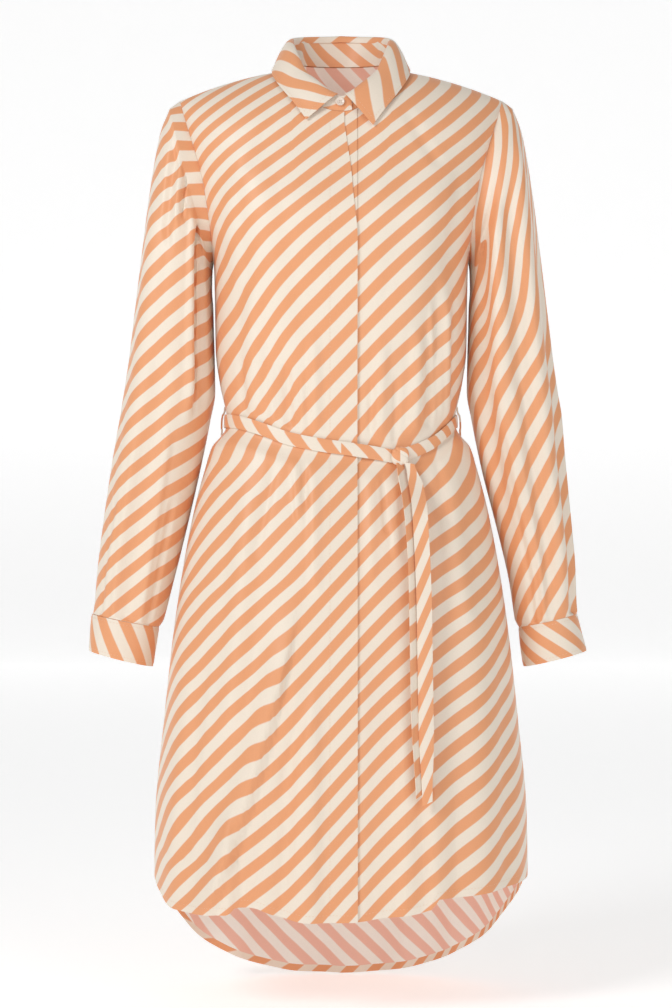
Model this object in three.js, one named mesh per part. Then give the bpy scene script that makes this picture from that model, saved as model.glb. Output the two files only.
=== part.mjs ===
import * as THREE from "three";

// Shirt dress, worn shape. Sizes in mm: +X to the wearer's left, -Y to the front, +Z up.
// The origin is on the centre line, level with the neck points and between front and back.
const WALL = 1.4; // cloth
const UNDER_WALL = 1.0; // cloth that lies under a panel
const SEAM = 0.4; // clearance where two pieces are sewn together
const EDGE_OFF = 0.7; // outer edge of front and back, from the line of the side and shoulder seams
const NECK_HALF = 62; // from the centre line to the neck point
const NECK_POINT_Z = 3.6;
const NECK_PIT_Z = -53; // front neckline at the centre
const BACK_NECK_Z = 14.7; // back neckline at the centre
const BACK_NECK_LIFT = 30; // how far the shoulder rolls up to the back neckline
const SHOULDER_HALF = 185;
const SHOULDER_TOP = 8; // height of the shoulder line's curve at the centre
const SHOULDER_FALL = 0.00115; // and its fall, per mm squared
const SHOULDER_ROLL = 70; // depth over which front and back round off to the shoulder seam
const UNDERARM_Z = -218;
const SIDE_HEM_Z = -918;
const BELT_Z = -402.5; // middle of the belt, before its dip
const BELT_TALL = 15;
const BELT_OFF = 3.4; // outer face of the belt, from the cloth
const SECTION_POWER = 2.4; // of the rounded cross-sections
const UNDER_EDGE = -13; // edge of the left front, under the placket
const FLY_EDGE = 18; // edge of the hidden fly band
const PLACKET_MIDDLE = 3;
const NECK_SEAM = 1.4; // lower edge of the collar stand, above the neckline
const RING_STEP = 15; // degrees between the sleeve's columns

const SHOULDER_Z = SHOULDER_TOP - SHOULDER_FALL * SHOULDER_HALF ** 2;

function table(names, rows) {
  const keys = names.split(" ");
  return rows.map((row) => Object.fromEntries(keys.map((key, i) => [key, row[i]])));
}

// Smooth curve through a table's rows that never overshoots them.
function curve(rows, by, of) {
  const at = rows.map((row) => [row[by], row[of]]).sort((a, b) => a[0] - b[0]);
  const last = at.length - 1;
  const slope = (i) => (at[i + 1][1] - at[i][1]) / (at[i + 1][0] - at[i][0]);
  const lean = at.map((_, i) => {
    if (i === 0) return slope(0);
    if (i === last) return slope(last - 1);
    const a = slope(i - 1);
    const b = slope(i);
    return a * b <= 0 ? 0 : (2 * a * b) / (a + b);
  });
  return (value) => {
    if (value <= at[0][0]) return at[0][1];
    if (value >= at[last][0]) return at[last][1];
    let i = 0;
    while (value > at[i + 1][0]) i += 1;
    const h = at[i + 1][0] - at[i][0];
    const t = (value - at[i][0]) / h;
    const a = at[i][1] * (1 + 2 * t) * (1 - t) ** 2 + lean[i] * h * t * (1 - t) ** 2;
    const b = at[i + 1][1] * t * t * (3 - 2 * t) + lean[i + 1] * h * t * t * (t - 1);
    return a + b;
  };
}

const clamp = (v, low, high) => Math.min(high, Math.max(low, v));
const mix = (a, b, t) => a + (b - a) * t;
const ease = (t) => clamp(t, 0, 1) ** 2 * (3 - 2 * clamp(t, 0, 1));
const rad = (degrees) => (degrees * Math.PI) / 180;
const steps = (from, to, count) => Array.from({ length: count + 1 }, (_, i) => mix(from, to, i / count));

// Cross-sections of the body: half its width, and how far front and back stand off the side seams.
const BODY = table("z half front back", [
  [20, 188, 56, 66],
  [0, 188, 58, 66],
  [-32, 188, 67, 75],
  [-80, 177, 84, 88],
  [-120, 167, 98, 94],
  [-170, 156, 111, 97],
  [-218, 146, 112, 97],
  [-260, 144.5, 108, 94],
  [-320, 142, 99, 89],
  [-363, 137, 93, 85],
  [-386, 133.3, 90.5, 82.5],
  [-395, 131.6, 90, 82],
  [-411, 132.4, 90.5, 82.5],
  [-420, 138, 93, 88],
  [-432, 148, 98, 95],
  [-455, 155.5, 103, 104],
  [-501, 168, 112, 117],
  [-560, 180, 120, 124],
  [-640, 192, 129, 131],
  [-740, 203, 138, 137],
  [-850, 213, 145, 142],
  [-918, 214, 149, 145],
  [-1060, 214, 152, 148],
]);
const halfWidth = curve(BODY, "z", "half");
const standOff = { "-1": curve(BODY, "z", "front"), 1: curve(BODY, "z", "back") };

// Armhole edge, from the shoulder point to the underarm.
const ARMHOLE = table("z x", [
  [SHOULDER_Z, SHOULDER_HALF],
  [-59, 177],
  [-97, 165],
  [-128, 157],
  [-180, 149],
  [-205, 146.6],
  [UNDERARM_Z, 146],
]);
const armhole = curve(ARMHOLE, "z", "x");
const sideEdge = (z) => (z > UNDERARM_Z ? armhole(z) : halfWidth(z));

// How far the belt line dips in front of the body.
const BELT_DIP = table("x dip", [
  [-131, 3],
  [-118, 1],
  [-95, -5.5],
  [-57, -19],
  [-23, -26],
  [9, -30.5],
  [38, -35],
  [60, -38.5],
  [80, -33],
  [102, -23],
  [120, -8],
  [131, 3],
]);
const frontDip = curve(BELT_DIP, "x", "dip");
const dipShare = (z) => Math.min(ease((z + 575) / 150), ease((-290 - z) / 95));
const beltDip = (side, x, z) => dipShare(z) * (side < 0 ? frontDip(x) : 3);

const FRONT_HEM = table("x z", [
  [-214, -918],
  [-207, -929],
  [-187, -946],
  [-156, -949],
  [-124, -948],
  [-117, -940],
  [-101, -938.6],
  [-73, -947],
  [-34, -954],
  [9, -954],
  [44, -950],
  [84, -945],
  [99, -940],
  [105, -929.5],
  [129, -928.5],
  [163, -925.6],
  [190, -922],
  [206, -920],
  [214, -918],
]);
const BACK_HEM = table("x z", [
  [0, -1058.5],
  [44, -1056.5],
  [80, -1051],
  [120, -1038],
  [150, -1020],
  [175, -998],
  [197, -966],
  [209, -941],
  [214, -918],
]);
const frontHem = curve(FRONT_HEM, "x", "z");
const backHem = curve(BACK_HEM, "x", "z");
const hemAt = (side, x) => (side < 0 ? frontHem(x) : backHem(Math.abs(x)));

// Front edge of the top layer of the placket: set back below the neckline.
const PLACKET_EDGE = table("z x", [
  [-45, 3.6],
  [-68, 6.5],
  [-103, 11],
  [-137, 13.6],
  [-164, 16.2],
  [-190, 18.2],
  [-300, 18.2],
  [-960, 18.2],
]);
const placketEdge = curve(PLACKET_EDGE, "z", "x");

// Folds, each from its upper end to its lower one: reach to the left and right of the crest, and rise.
const FOLD_COLUMNS = "topX topZ midX lowX lowZ left right rise";
const FRONT_FOLDS = table(FOLD_COLUMNS, [
  [-46, -585, -78, -158, -985, 36, 9, 8],
  [-119, -820, -119, -123, -1010, 30, 7, 5],
  [-178, -560, -188, -186, -1010, 24, 22, 5],
  [-34, -670, -32, -36, -1010, 26, 24, 5],
  [46, -600, 50, 44, -1010, 30, 26, -4],
  [99, -760, 99, 103, -1010, 9, 30, 5],
  [148, -520, 156, 158, -1010, 34, 28, 5],
  [-100, -445, -112, -124, -760, 22, 20, 4],
  [-28, -447, -30, -26, -600, 16, 16, 4],
  [22, -450, 24, 24, -590, 14, 14, 3],
  [118, -430, 128, 136, -640, 20, 20, 4],
  [-62, -330, -61, -58, -412, 12, 12, -4],
  [-96, -235, -101, -92, -398, 18, 16, 4],
  [-30, -300, -28, -26, -418, 14, 14, 3],
  [40, -300, 38, 38, -424, 14, 14, 3],
  [84, -290, 88, 80, -424, 14, 14, 4],
  [116, -225, 119, 112, -408, 14, 14, 4],
  [-110, -70, -96, -60, -330, 34, 34, 3],
  [112, -80, 98, 62, -330, 34, 34, 3],
]);
const BACK_FOLDS = table(FOLD_COLUMNS, [
  [-128, -425, -146, -158, -1100, 34, 30, 7],
  [-78, -425, -88, -92, -1100, 30, 32, 9],
  [-22, -425, -24, -20, -1100, 34, 30, 6],
  [36, -425, 42, 46, -1100, 30, 34, 8],
  [88, -425, 98, 106, -1100, 32, 30, 7],
  [128, -425, 150, 164, -1100, 28, 30, 7],
  [-92, -250, -88, -84, -389, 20, 18, 5],
  [-40, -280, -38, -36, -389, 18, 20, 4],
  [16, -270, 14, 14, -389, 20, 18, 4],
  [66, -240, 64, 62, -389, 18, 18, 5],
  [108, -290, 104, 100, -389, 16, 16, 4],
  [-120, -60, -108, -100, -260, 26, 26, 3],
  [120, -60, 108, 100, -260, 26, 26, 3],
]);

function foldRise(folds, x, z) {
  let rise = 0;
  for (const fold of folds) {
    const q = (fold.topZ - z) / (fold.topZ - fold.lowZ);
    if (q <= 0 || q >= 1) continue;
    const crest = (1 - q) ** 2 * fold.topX + 2 * q * (1 - q) * fold.midX + q * q * fold.lowX;
    const off = (x - crest) / (x < crest ? fold.left : fold.right);
    if (Math.abs(off) >= 1) continue;
    rise += fold.rise * (1 - off * off) ** 2 * ease(q / 0.25) * ease((1 - q) / 0.12);
  }
  return rise;
}

// The shoulder line, raised behind the neck.
function shoulderLine(side, x) {
  const lift = side > 0 && Math.abs(x) < NECK_HALF ? BACK_NECK_LIFT * (1 - (x / NECK_HALF) ** 2) ** 2 : 0;
  return SHOULDER_TOP - SHOULDER_FALL * x * x + lift;
}

// How far the plain cloth stands in front of (side -1) or behind (side 1) the side seams.
function clothDepth(side, x, z) {
  const drop = clamp((shoulderLine(side, x) - z) / SHOULDER_ROLL, 0, 1);
  const part = Math.min(Math.abs(x) / halfWidth(z), 1);
  return standOff[side](z) * Math.sqrt(1 - (1 - drop) ** 2) * (1 - part ** SECTION_POWER) ** (1 / SECTION_POWER);
}

// A point of the body's cloth: z is its height, section the height of the section that it follows.
function bodyPoint(side, x, z, section, out = 0) {
  const y = side * Math.max(clothDepth(side, x, section), EDGE_OFF);
  const a = halfWidth(section);
  const d = Math.max(standOff[side](section), 1);
  const away = new THREE.Vector3(x / (a * a), y / (d * d), 0).normalize();
  // Folds die out at the side seams and at the stiff placket.
  const stiff = side < 0 ? ease((Math.abs(x - PLACKET_MIDDLE) - 17) / 16) : 1;
  const free = stiff * (1 - Math.min(Math.abs(x) / a, 1) ** 8);
  const rise = foldRise(side < 0 ? FRONT_FOLDS : BACK_FOLDS, x, z) * free;
  return new THREE.Vector3(x, y, z).addScaledVector(away, out + rise);
}

// The section that a point at height z follows, where the belt line dips.
function sectionOf(side, x, z) {
  let section = z;
  for (let i = 0; i < 25; i += 1) section = z - beltDip(side, x, section);
  return section;
}

const onBody = (side, x, z, out = 0) => bodyPoint(side, x, z, sectionOf(side, x, z), out);

// Neckline and shoulder seam: the upper edge of a panel.
function upperEdge(side, x) {
  if (Math.abs(x) >= NECK_HALF) return shoulderLine(side, x);
  const share = Math.sqrt(1 - (x / NECK_HALF) ** 2);
  return side < 0 ? mix(NECK_POINT_Z, NECK_PIT_Z, share ** 1.5) : mix(NECK_POINT_Z, BACK_NECK_Z, share);
}

// Heights of a panel's rows at its side edge.
function rowHeights() {
  const tall = (SHOULDER_Z - UNDERARM_Z) / 2;
  const upper = steps(0, 180, 180 / RING_STEP).map((t) => SHOULDER_Z - tall * (1 - Math.cos(rad(t))));
  const lower = [
    [UNDERARM_Z, -366, 4],
    [-366, -440, 7],
    [-440, -560, 3],
    [-560, SIDE_HEM_Z, 7],
  ];
  return [...upper, ...lower.flatMap(([from, to, count]) => steps(from, to, count).slice(1))];
}

// A panel's point, in the row that meets the side edge at height sideZ.
function panelPoint(side, x, sideZ, out) {
  const firstX = (x * SHOULDER_HALF) / sideEdge(sideZ);
  const upper = (upperEdge(side, firstX) - SHOULDER_Z) * (1 - ease((SHOULDER_Z - sideZ) / 250));
  const hemX = (x * halfWidth(SIDE_HEM_Z)) / halfWidth(sideZ);
  const lower = (hemAt(side, hemX) - SIDE_HEM_Z) * ease((-560 - sideZ) / 358);
  const section = sideZ + upper + lower;
  return bodyPoint(side, x, section + beltDip(side, x, section), section, out);
}

const NECK_SHARE = NECK_HALF / SHOULDER_HALF;
const cosine = (degrees) => Math.cos(rad(degrees));
const sideShares = (count) =>
  steps(90, (Math.asin(NECK_SHARE) * 180) / Math.PI, count).map((t) => Math.sin(rad(t)));

// A front, from its side seam to its centre edge; the last three columns are the placket's.
function frontGrid(hand, near, edgeAt, out) {
  const shares = sideShares(9);
  const neck = [12, 24, 36, 48, 60].map((t) => (cosine(t) - cosine(75)) / (1 - cosine(75)));
  const grid = rowHeights().map((sideZ) => {
    const reach = hand * sideEdge(sideZ);
    const end = edgeAt(sideZ);
    const xs = [
      ...shares.map((s) => s * reach),
      ...neck.map((s) => mix(near, NECK_SHARE * reach, s)),
      near,
      mix(near, end, 0.5),
      end,
    ];
    return xs.map((x) => panelPoint(-1, x, sideZ, out(x)));
  });
  return hand < 0 ? grid : grid.map((row) => row.reverse());
}

function backGrid() {
  const shares = sideShares(9);
  const neck = [72, 54, 36, 18, 0, -18, -36, -54, -72].map((t) => Math.sin(rad(t)) * NECK_SHARE);
  const all = [...shares, ...neck, ...shares.map((s) => -s).reverse()];
  return rowHeights().map((sideZ) => all.map((s) => panelPoint(1, s * sideEdge(sideZ), sideZ, 0)));
}

// The fly's under layer, behind the right front's edge.
function flyGrid() {
  const across = steps(UNDER_EDGE, FLY_EDGE, 2);
  return rowHeights().map((sideZ) => across.map((x) => panelPoint(-1, x, sideZ, -(WALL + SEAM))));
}

// A closed wall from a grid of outer points: columns run to the right as seen from outside, rows
// down. A ring's last column joins its first.
function shell(grid, wall, ring = false) {
  const rows = grid.length;
  const cols = grid[0].length;
  const column = (j) => (ring ? (j + cols) % cols : clamp(j, 0, cols - 1));
  const inner = grid.map((row, i) =>
    row.map((point, j) => {
      const right = row[column(j + 1)].clone().sub(row[column(j - 1)]);
      const down = grid[Math.min(i + 1, rows - 1)][j].clone().sub(grid[Math.max(i - 1, 0)][j]);
      return point.clone().addScaledVector(down.cross(right).normalize(), -wall);
    }),
  );
  const points = [...grid.flat(), ...inner.flat()];
  const index = [];
  const id = (i, j, skin) => skin * rows * cols + i * cols + column(j);
  const quad = (a, b, c, d) => {
    const short = points[a].distanceTo(points[c]) <= points[b].distanceTo(points[d]);
    index.push(...(short ? [a, b, c, a, c, d] : [b, c, d, b, d, a]));
  };
  const across = ring ? cols : cols - 1;
  for (let i = 0; i + 1 < rows; i += 1) {
    for (let j = 0; j < across; j += 1) {
      quad(id(i, j, 0), id(i + 1, j, 0), id(i + 1, j + 1, 0), id(i, j + 1, 0));
      quad(id(i, j, 1), id(i, j + 1, 1), id(i + 1, j + 1, 1), id(i + 1, j, 1));
    }
    if (!ring) {
      quad(id(i, 0, 0), id(i, 0, 1), id(i + 1, 0, 1), id(i + 1, 0, 0));
      quad(id(i, cols - 1, 0), id(i + 1, cols - 1, 0), id(i + 1, cols - 1, 1), id(i, cols - 1, 1));
    }
  }
  for (let j = 0; j < across; j += 1) {
    quad(id(0, j, 0), id(0, j + 1, 0), id(0, j + 1, 1), id(0, j, 1));
    quad(id(rows - 1, j, 0), id(rows - 1, j, 1), id(rows - 1, j + 1, 1), id(rows - 1, j + 1, 0));
  }
  const geometry = new THREE.BufferGeometry();
  geometry.setAttribute("position", new THREE.Float32BufferAttribute(points.flatMap((p) => p.toArray()), 3));
  geometry.setIndex(index);
  return geometry;
}

// Sleeve rings after the armhole: the outer and inner silhouettes on each hand, and half the depth.
const LIMB_COLUMNS = "outRight outLeft outZ inRight inLeft inZ deep";
const SLEEVE = table(LIMB_COLUMNS, [
  [197, 197, -40, 147.6, 147.6, -226, 46],
  [207, 207, -66, 148, 148, -236, 52],
  [214, 214, -100, 148.2, 148.2, -250, 56],
  [221, 221, -145, 148, 148, -270, 59],
  [228, 228, -200, 147, 147, -295, 60],
  [236, 236, -265, 146, 146, -325, 59],
  [244, 244, -330, 145.2, 145.2, -365, 56],
  [252.5, 251.5, -385, 150, 150, -398, 53],
  [262, 256, -440, 161, 161, -452, 50],
  [272.5, 263, -510, 178, 180, -526, 45],
  [279.5, 268, -565, 192, 193, -582, 41],
  [283.5, 270, -611, 204.5, 200.5, -629, 38.5],
  [285, 271.2, -620.2, 208.8, 204.2, -635.2, 36.2],
]);
const CUFF = table(LIMB_COLUMNS, [
  [286.5, 271.5, -621, 209, 204, -636, 36],
  [288.5, 276.5, -641, 212.5, 206.2, -658, 36.5],
  [290, 282.6, -662.5, 216, 209.6, -681, 37],
]);

// Folds down a sleeve, in degrees round it (0 outside, 90 in front, 180 beside the body).
const SLEEVE_FOLDS = {
  right: table("topAt lowAt from to reach rise", [
    [118, 140, 0.04, 0.62, 26, -9],
    [92, 112, 0.02, 0.7, 22, 5],
    [60, 72, 0.02, 0.3, 16, -4],
    [40, 58, 0.2, 0.95, 24, 4],
    [78, 92, 0.45, 1, 22, -4],
    [215, 225, 0.1, 0.9, 24, -5],
    [280, 270, 0.05, 0.95, 26, 4],
    [318, 310, 0.15, 0.9, 22, -4],
  ]),
  left: table("topAt lowAt from to reach rise", [
    [126, 136, 0.03, 0.8, 22, -7],
    [100, 108, 0.05, 0.85, 20, 5],
    [74, 84, 0.1, 0.95, 20, -6],
    [46, 58, 0.05, 0.98, 22, 5],
    [24, 34, 0.3, 1, 18, -4],
    [222, 230, 0.1, 0.9, 24, -5],
    [284, 275, 0.05, 0.95, 26, 4],
    [322, 312, 0.15, 0.9, 22, -4],
  ]),
};

function sleeveRise(folds, degrees, down) {
  let rise = 0;
  for (const fold of folds) {
    const q = (down - fold.from) / (fold.to - fold.from);
    if (q <= 0 || q >= 1) continue;
    const off = (degrees - mix(fold.topAt, fold.lowAt, q)) / fold.reach;
    if (Math.abs(off) < 1) rise += fold.rise * (1 - off * off) ** 2 * ease(q / 0.2) * ease((1 - q) / 0.2);
  }
  return rise;
}

// The armhole as a sleeve's first ring; it meets the panels' own points.
function armholeRing(hand) {
  return steps(0, 360 - RING_STEP, 360 / RING_STEP - 1).map((t) => {
    const z = mix(SHOULDER_Z, UNDERARM_Z, (1 - Math.cos(rad(t))) / 2);
    const point = bodyPoint(t <= 180 ? -1 : 1, armhole(z), z, z);
    if (t === 0 || t === 180) point.y = 0;
    point.x = hand * (point.x + 0.7);
    return point;
  });
}

function limbRing(hand, row, rise) {
  const outX = hand < 0 ? row.outRight : row.outLeft;
  const inX = hand < 0 ? row.inRight : row.inLeft;
  return steps(0, 360 - RING_STEP, 360 / RING_STEP - 1).map((t) => {
    const c = Math.cos(rad(t));
    const s = Math.sin(rad(t));
    const grow = 1 + rise(t) / Math.hypot(((outX - inX) / 2) * c, row.deep * s);
    const x = (outX + inX) / 2 + ((outX - inX) / 2) * c * grow;
    const z = (row.outZ + row.inZ) / 2 + ((row.outZ - row.inZ) / 2) * c * grow;
    return new THREE.Vector3(hand * x, -row.deep * s * grow, z);
  });
}

const asSeen = (hand, ring) => (hand > 0 ? [...ring].reverse() : ring);

function sleeveGrid(hand, folds) {
  const rows = SLEEVE.map((row, at) => ({ ...row, at }));
  const last = rows.length - 1;
  const path = Object.fromEntries(LIMB_COLUMNS.split(" ").map((key) => [key, curve(rows, "at", key)]));
  const rings = steps(0, last, 1.5 * last).map((at) => {
    const row = Object.fromEntries(Object.entries(path).map(([key, f]) => [key, f(at)]));
    return limbRing(hand, row, (t) => sleeveRise(folds, t, at / last));
  });
  return [armholeRing(hand), ...rings].map((ring) => asSeen(hand, ring));
}

const cuffGrid = (hand) => CUFF.map((row) => asSeen(hand, limbRing(hand, row, () => 0)));

// Collar: heights of the stand's upper edge, and the fall's outer edge, by degrees from the front.
const STAND_TOP = table("at z", [
  [0, -35.5],
  [6, -34],
  [28, -18.5],
  [45, -5.5],
  [60, 14],
  [75, 29],
  [90, 37],
  [120, 44],
  [150, 48],
  [180, 50],
]);
const FALL_EDGE = table("at leftX leftZ rightX rightZ", [
  [4, 35.8, -69.2, 39.2, -62.8],
  [15, 42, -60, 45, -54],
  [30, 52, -46, 54, -41],
  [45, 63, -31, 64, -28],
  [60, 72, -17, 73, -15],
  [75, 77.5, -5, 78, -4],
  [90, 79, 4.5, 79, 4.5],
  [110, 74, 4, 74, 4],
  [135, 56, 2.5, 56, 2.5],
  [160, 27, 4.5, 27, 4.5],
  [180, 0, 7, 0, 7],
]);
// The fall's profile from the roll to its outer edge: share of the way, and how far it bulges out.
const FALL = table("along bulge", [
  [0, 0],
  [0.03, 2.6],
  [0.12, 4.2],
  [0.3, 4.6],
  [0.55, 3.6],
  [0.8, 1.8],
  [1, 0.8],
]);
const STAND_HALF = 57;
const STAND_FRONT = 69;
const STAND_BACK = 52;
const FALL_HALF = 79;
const standTop = curve(STAND_TOP, "at", "z");

function neckPlan(degrees, half, front, back) {
  const c = Math.cos(rad(degrees));
  return [half * Math.sin(rad(degrees)), -c * (c > 0 ? front : back)];
}

function standPoint(degrees, up) {
  const side = Math.cos(rad(degrees)) > 0 ? -1 : 1;
  const x = NECK_HALF * Math.sin(rad(degrees));
  const z = upperEdge(side, x);
  const base = new THREE.Vector3(x, side * clothDepth(side, x, z), z + NECK_SEAM);
  const turn = Math.abs(((degrees + 540) % 360) - 180);
  const top = new THREE.Vector3(...neckPlan(degrees, STAND_HALF, STAND_FRONT, STAND_BACK), standTop(turn));
  const point = base.lerp(top, up);
  const under = 2.4 * (1 - ease((degrees - 20) / 60));
  point.x -= under * Math.sin(rad(degrees));
  point.y += under * Math.cos(rad(degrees));
  return point;
}

function standGrid() {
  const columns = [-11, ...steps(-4, 364, 46), 371.5];
  return [1, 0.66, 0.33, 0].map((up) =>
    columns.map((t) => {
      const end = up === 1 && t > 370 ? -0.3 : 0;
      return standPoint(t, up + end);
    }),
  );
}

function fallEdge(degrees) {
  const turn = Math.abs(((degrees + 540) % 360) - 180);
  const hand = degrees < 180 ? 1 : -1;
  const side = turn > 90 ? 1 : -1;
  const key = hand > 0 ? "left" : "right";
  const x = turn > 90 ? FALL_HALF * Math.sin(rad(turn)) : curve(FALL_EDGE, "at", `${key}X`)(turn);
  const z = curve(FALL_EDGE, "at", `${key}Z`)(turn);
  return new THREE.Vector3(hand * x, side * clothDepth(side, x, z - 3.2) - 2.4 * Math.cos(rad(turn)), z);
}

function fallGrid() {
  const columns = [4, 9, ...steps(15, 345, 44), 351, 356];
  return FALL.map((row) =>
    columns.map((t) => {
      const turn = Math.abs(((t + 540) % 360) - 180);
      const roll = new THREE.Vector3(...neckPlan(t, STAND_HALF, STAND_FRONT, STAND_BACK), standTop(turn) + 3);
      const away = new THREE.Vector3(Math.sin(rad(t)), -Math.cos(rad(t)), 0);
      return roll.lerp(fallEdge(t), row.along).addScaledVector(away, row.bulge);
    }),
  );
}

// Belt: a ring of the body's points at the belt line, moved out.
function beltGrid() {
  const turns = steps(0, 354, 59);
  const rows = [BELT_TALL / 2, 0, -BELT_TALL / 2];
  return rows.map((up) =>
    turns.map((t) => {
      const side = Math.cos(rad(t)) > 0 ? -1 : 1;
      const section = BELT_Z + up;
      const reach = halfWidth(section);
      const sine = Math.sin(rad(t));
      const x = reach * sine;
      const y = side * clothDepth(side, x, section);
      const away = new THREE.Vector3(x / reach ** 2, y / standOff[side](section) ** 2, 0).normalize();
      return new THREE.Vector3(x, y, section + beltDip(side, x, section)).addScaledVector(away, BELT_OFF);
    }),
  );
}

const KNOT = { x: 66, z: -441, halfWide: 10.5, halfTall: 11, halfDeep: 5 };
const TAIL_WIDE = 17;
const TAIL_LONG = table("z x", [
  [-454, 78],
  [-467, 82],
  [-495, 86.5],
  [-520, 88],
  [-560, 90],
  [-605, 91.5],
  [-720, 93],
  [-823, 94.5],
]);
const TAIL_SHORT = table("z x", [
  [-454, 68],
  [-495, 77],
  [-560, 82],
  [-605, 83],
  [-720, 84.5],
  [-809, 86],
]);

const TAILS = [TAIL_LONG, TAIL_SHORT];

// How far forward the front's cloth reaches round a place.
function reachOfFront(x, z) {
  let most = 0;
  for (const dx of [-13, -6, 0, 6, 13]) {
    for (const dz of [-30, -15, 0, 15, 30]) {
      if (z + dz < -448) most = Math.max(most, -onBody(-1, x + dx, z + dz).y);
    }
  }
  return most;
}

function tailGrid(rows, off, fromY) {
  const path = curve(rows, "z", "x");
  const top = rows[0].z;
  const low = rows[rows.length - 1].z;
  return steps(top, low, 16).map((z) => {
    const x = path(z);
    const lean = (path(z + 4) - path(z - 4)) / 8;
    const across = new THREE.Vector3(1, 0, lean).normalize();
    const reach = Math.max(...TAILS.map((tail) => reachOfFront(curve(tail, "z", "x")(z), z)));
    const y = -mix(fromY, reach + off, ease((top - z) / 60));
    return [-1, 0, 1].map((side) => new THREE.Vector3(x, y, z).addScaledVector(across, (side * TAIL_WIDE) / 2));
  });
}

function knotGeometry() {
  const geometry = new THREE.SphereGeometry(1, 16, 10);
  const cloth = -onBody(-1, KNOT.x, KNOT.z).y;
  geometry.scale(KNOT.halfWide, KNOT.halfDeep, KNOT.halfTall);
  geometry.translate(KNOT.x, -(cloth + BELT_OFF + 1.6 + KNOT.halfDeep), KNOT.z);
  return geometry;
}

// A carrier over the belt at a side seam.
const LOOP = table("z off", [
  [-383, 1.6],
  [-389, 4.0],
  [-393, 6.6],
  [-400, 7.4],
  [-407, 7.0],
  [-411, 5.0],
  [-416, 1.7],
]);
const LOOP_WIDE = 8;

function loopGrid(hand) {
  return LOOP.map((row) => {
    const x = hand * (halfWidth(row.z - 3) + row.off);
    const ys = hand > 0 ? [-0.5, 0, 0.5] : [0.5, 0, -0.5];
    return ys.map((y) => new THREE.Vector3(x, y * LOOP_WIDE, row.z));
  });
}

function buttonGeometry(radius, thick, x, y, z, tilt) {
  const geometry = new THREE.CylinderGeometry(radius, radius, thick, 24);
  geometry.rotateX(tilt);
  geometry.translate(x, y, z);
  return geometry;
}

const CLOTH = 0xf0cba6;
const UNDERSIDE = 0xe7b9a6;
const PEARL = 0xf3eee6;

const group = new THREE.Group();

function add(name, geometry, color = CLOTH, roughness = 0.6) {
  const mesh = new THREE.Mesh(geometry, new THREE.MeshStandardMaterial({ color, roughness, metalness: 0 }));
  mesh.name = name;
  group.add(mesh);
}

const tuck = (x) => -(WALL + UNDER_WALL + 2 * SEAM) * (1 - ease((x - 20) / 26));

add("front_right", shell(frontGrid(-1, UNDER_EDGE, placketEdge, () => 0), WALL));
add("front_left", shell(frontGrid(1, FLY_EDGE, () => UNDER_EDGE, tuck), WALL));
add("fly_band", shell(flyGrid(), UNDER_WALL), UNDERSIDE);
add("back", shell(backGrid(), WALL));
add("sleeve_right", shell(sleeveGrid(-1, SLEEVE_FOLDS.right), WALL, true));
add("sleeve_left", shell(sleeveGrid(1, SLEEVE_FOLDS.left), WALL, true));
add("cuff_right", shell(cuffGrid(-1), 1.8, true));
add("cuff_left", shell(cuffGrid(1), 1.8, true));
add("collar_stand", shell(standGrid(), WALL));
add("collar", shell(fallGrid(), WALL));
add("collar_button", buttonGeometry(5, 2, -1.1, -73.2, -42, -0.16), PEARL, 0.25);
add("belt", shell(beltGrid(), 1.6, true));
add("belt_knot", knotGeometry());
const KNOT_FRONT = -onBody(-1, KNOT.x, KNOT.z).y;
add("belt_tail_long", shell(tailGrid(TAIL_LONG, 6.6, KNOT_FRONT + 12.1), WALL));
add("belt_tail_short", shell(tailGrid(TAIL_SHORT, 4.5, KNOT_FRONT + 8), WALL));
add("loop_right", shell(loopGrid(-1), 1.1));
add("loop_left", shell(loopGrid(1), 1.1));

export default group;
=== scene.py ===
import math

import bpy
import numpy as np
from bpy.props import FloatProperty, FloatVectorProperty, PointerProperty
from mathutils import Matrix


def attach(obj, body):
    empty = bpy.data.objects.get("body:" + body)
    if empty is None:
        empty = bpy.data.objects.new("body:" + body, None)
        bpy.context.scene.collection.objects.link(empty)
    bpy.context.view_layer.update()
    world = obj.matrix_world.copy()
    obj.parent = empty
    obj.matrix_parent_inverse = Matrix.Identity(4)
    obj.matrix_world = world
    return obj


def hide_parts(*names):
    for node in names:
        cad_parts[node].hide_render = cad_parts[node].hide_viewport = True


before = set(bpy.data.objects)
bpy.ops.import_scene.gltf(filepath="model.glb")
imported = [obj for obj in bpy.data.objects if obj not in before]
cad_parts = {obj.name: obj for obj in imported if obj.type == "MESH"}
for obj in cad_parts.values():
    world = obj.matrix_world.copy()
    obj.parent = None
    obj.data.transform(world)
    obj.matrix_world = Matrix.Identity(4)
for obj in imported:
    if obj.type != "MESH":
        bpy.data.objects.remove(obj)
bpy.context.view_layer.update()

bl_info = {
    "name": "Striped shirt dress",
    "version": (1, 0, 0),
    "blender": (4, 5, 0),
    "location": "3D View > Sidebar > Shirt dress",
    "description": "Makes the cloth, collar, belt, button and stitching of a striped shirt dress",
    "category": "Object",
}

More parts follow.
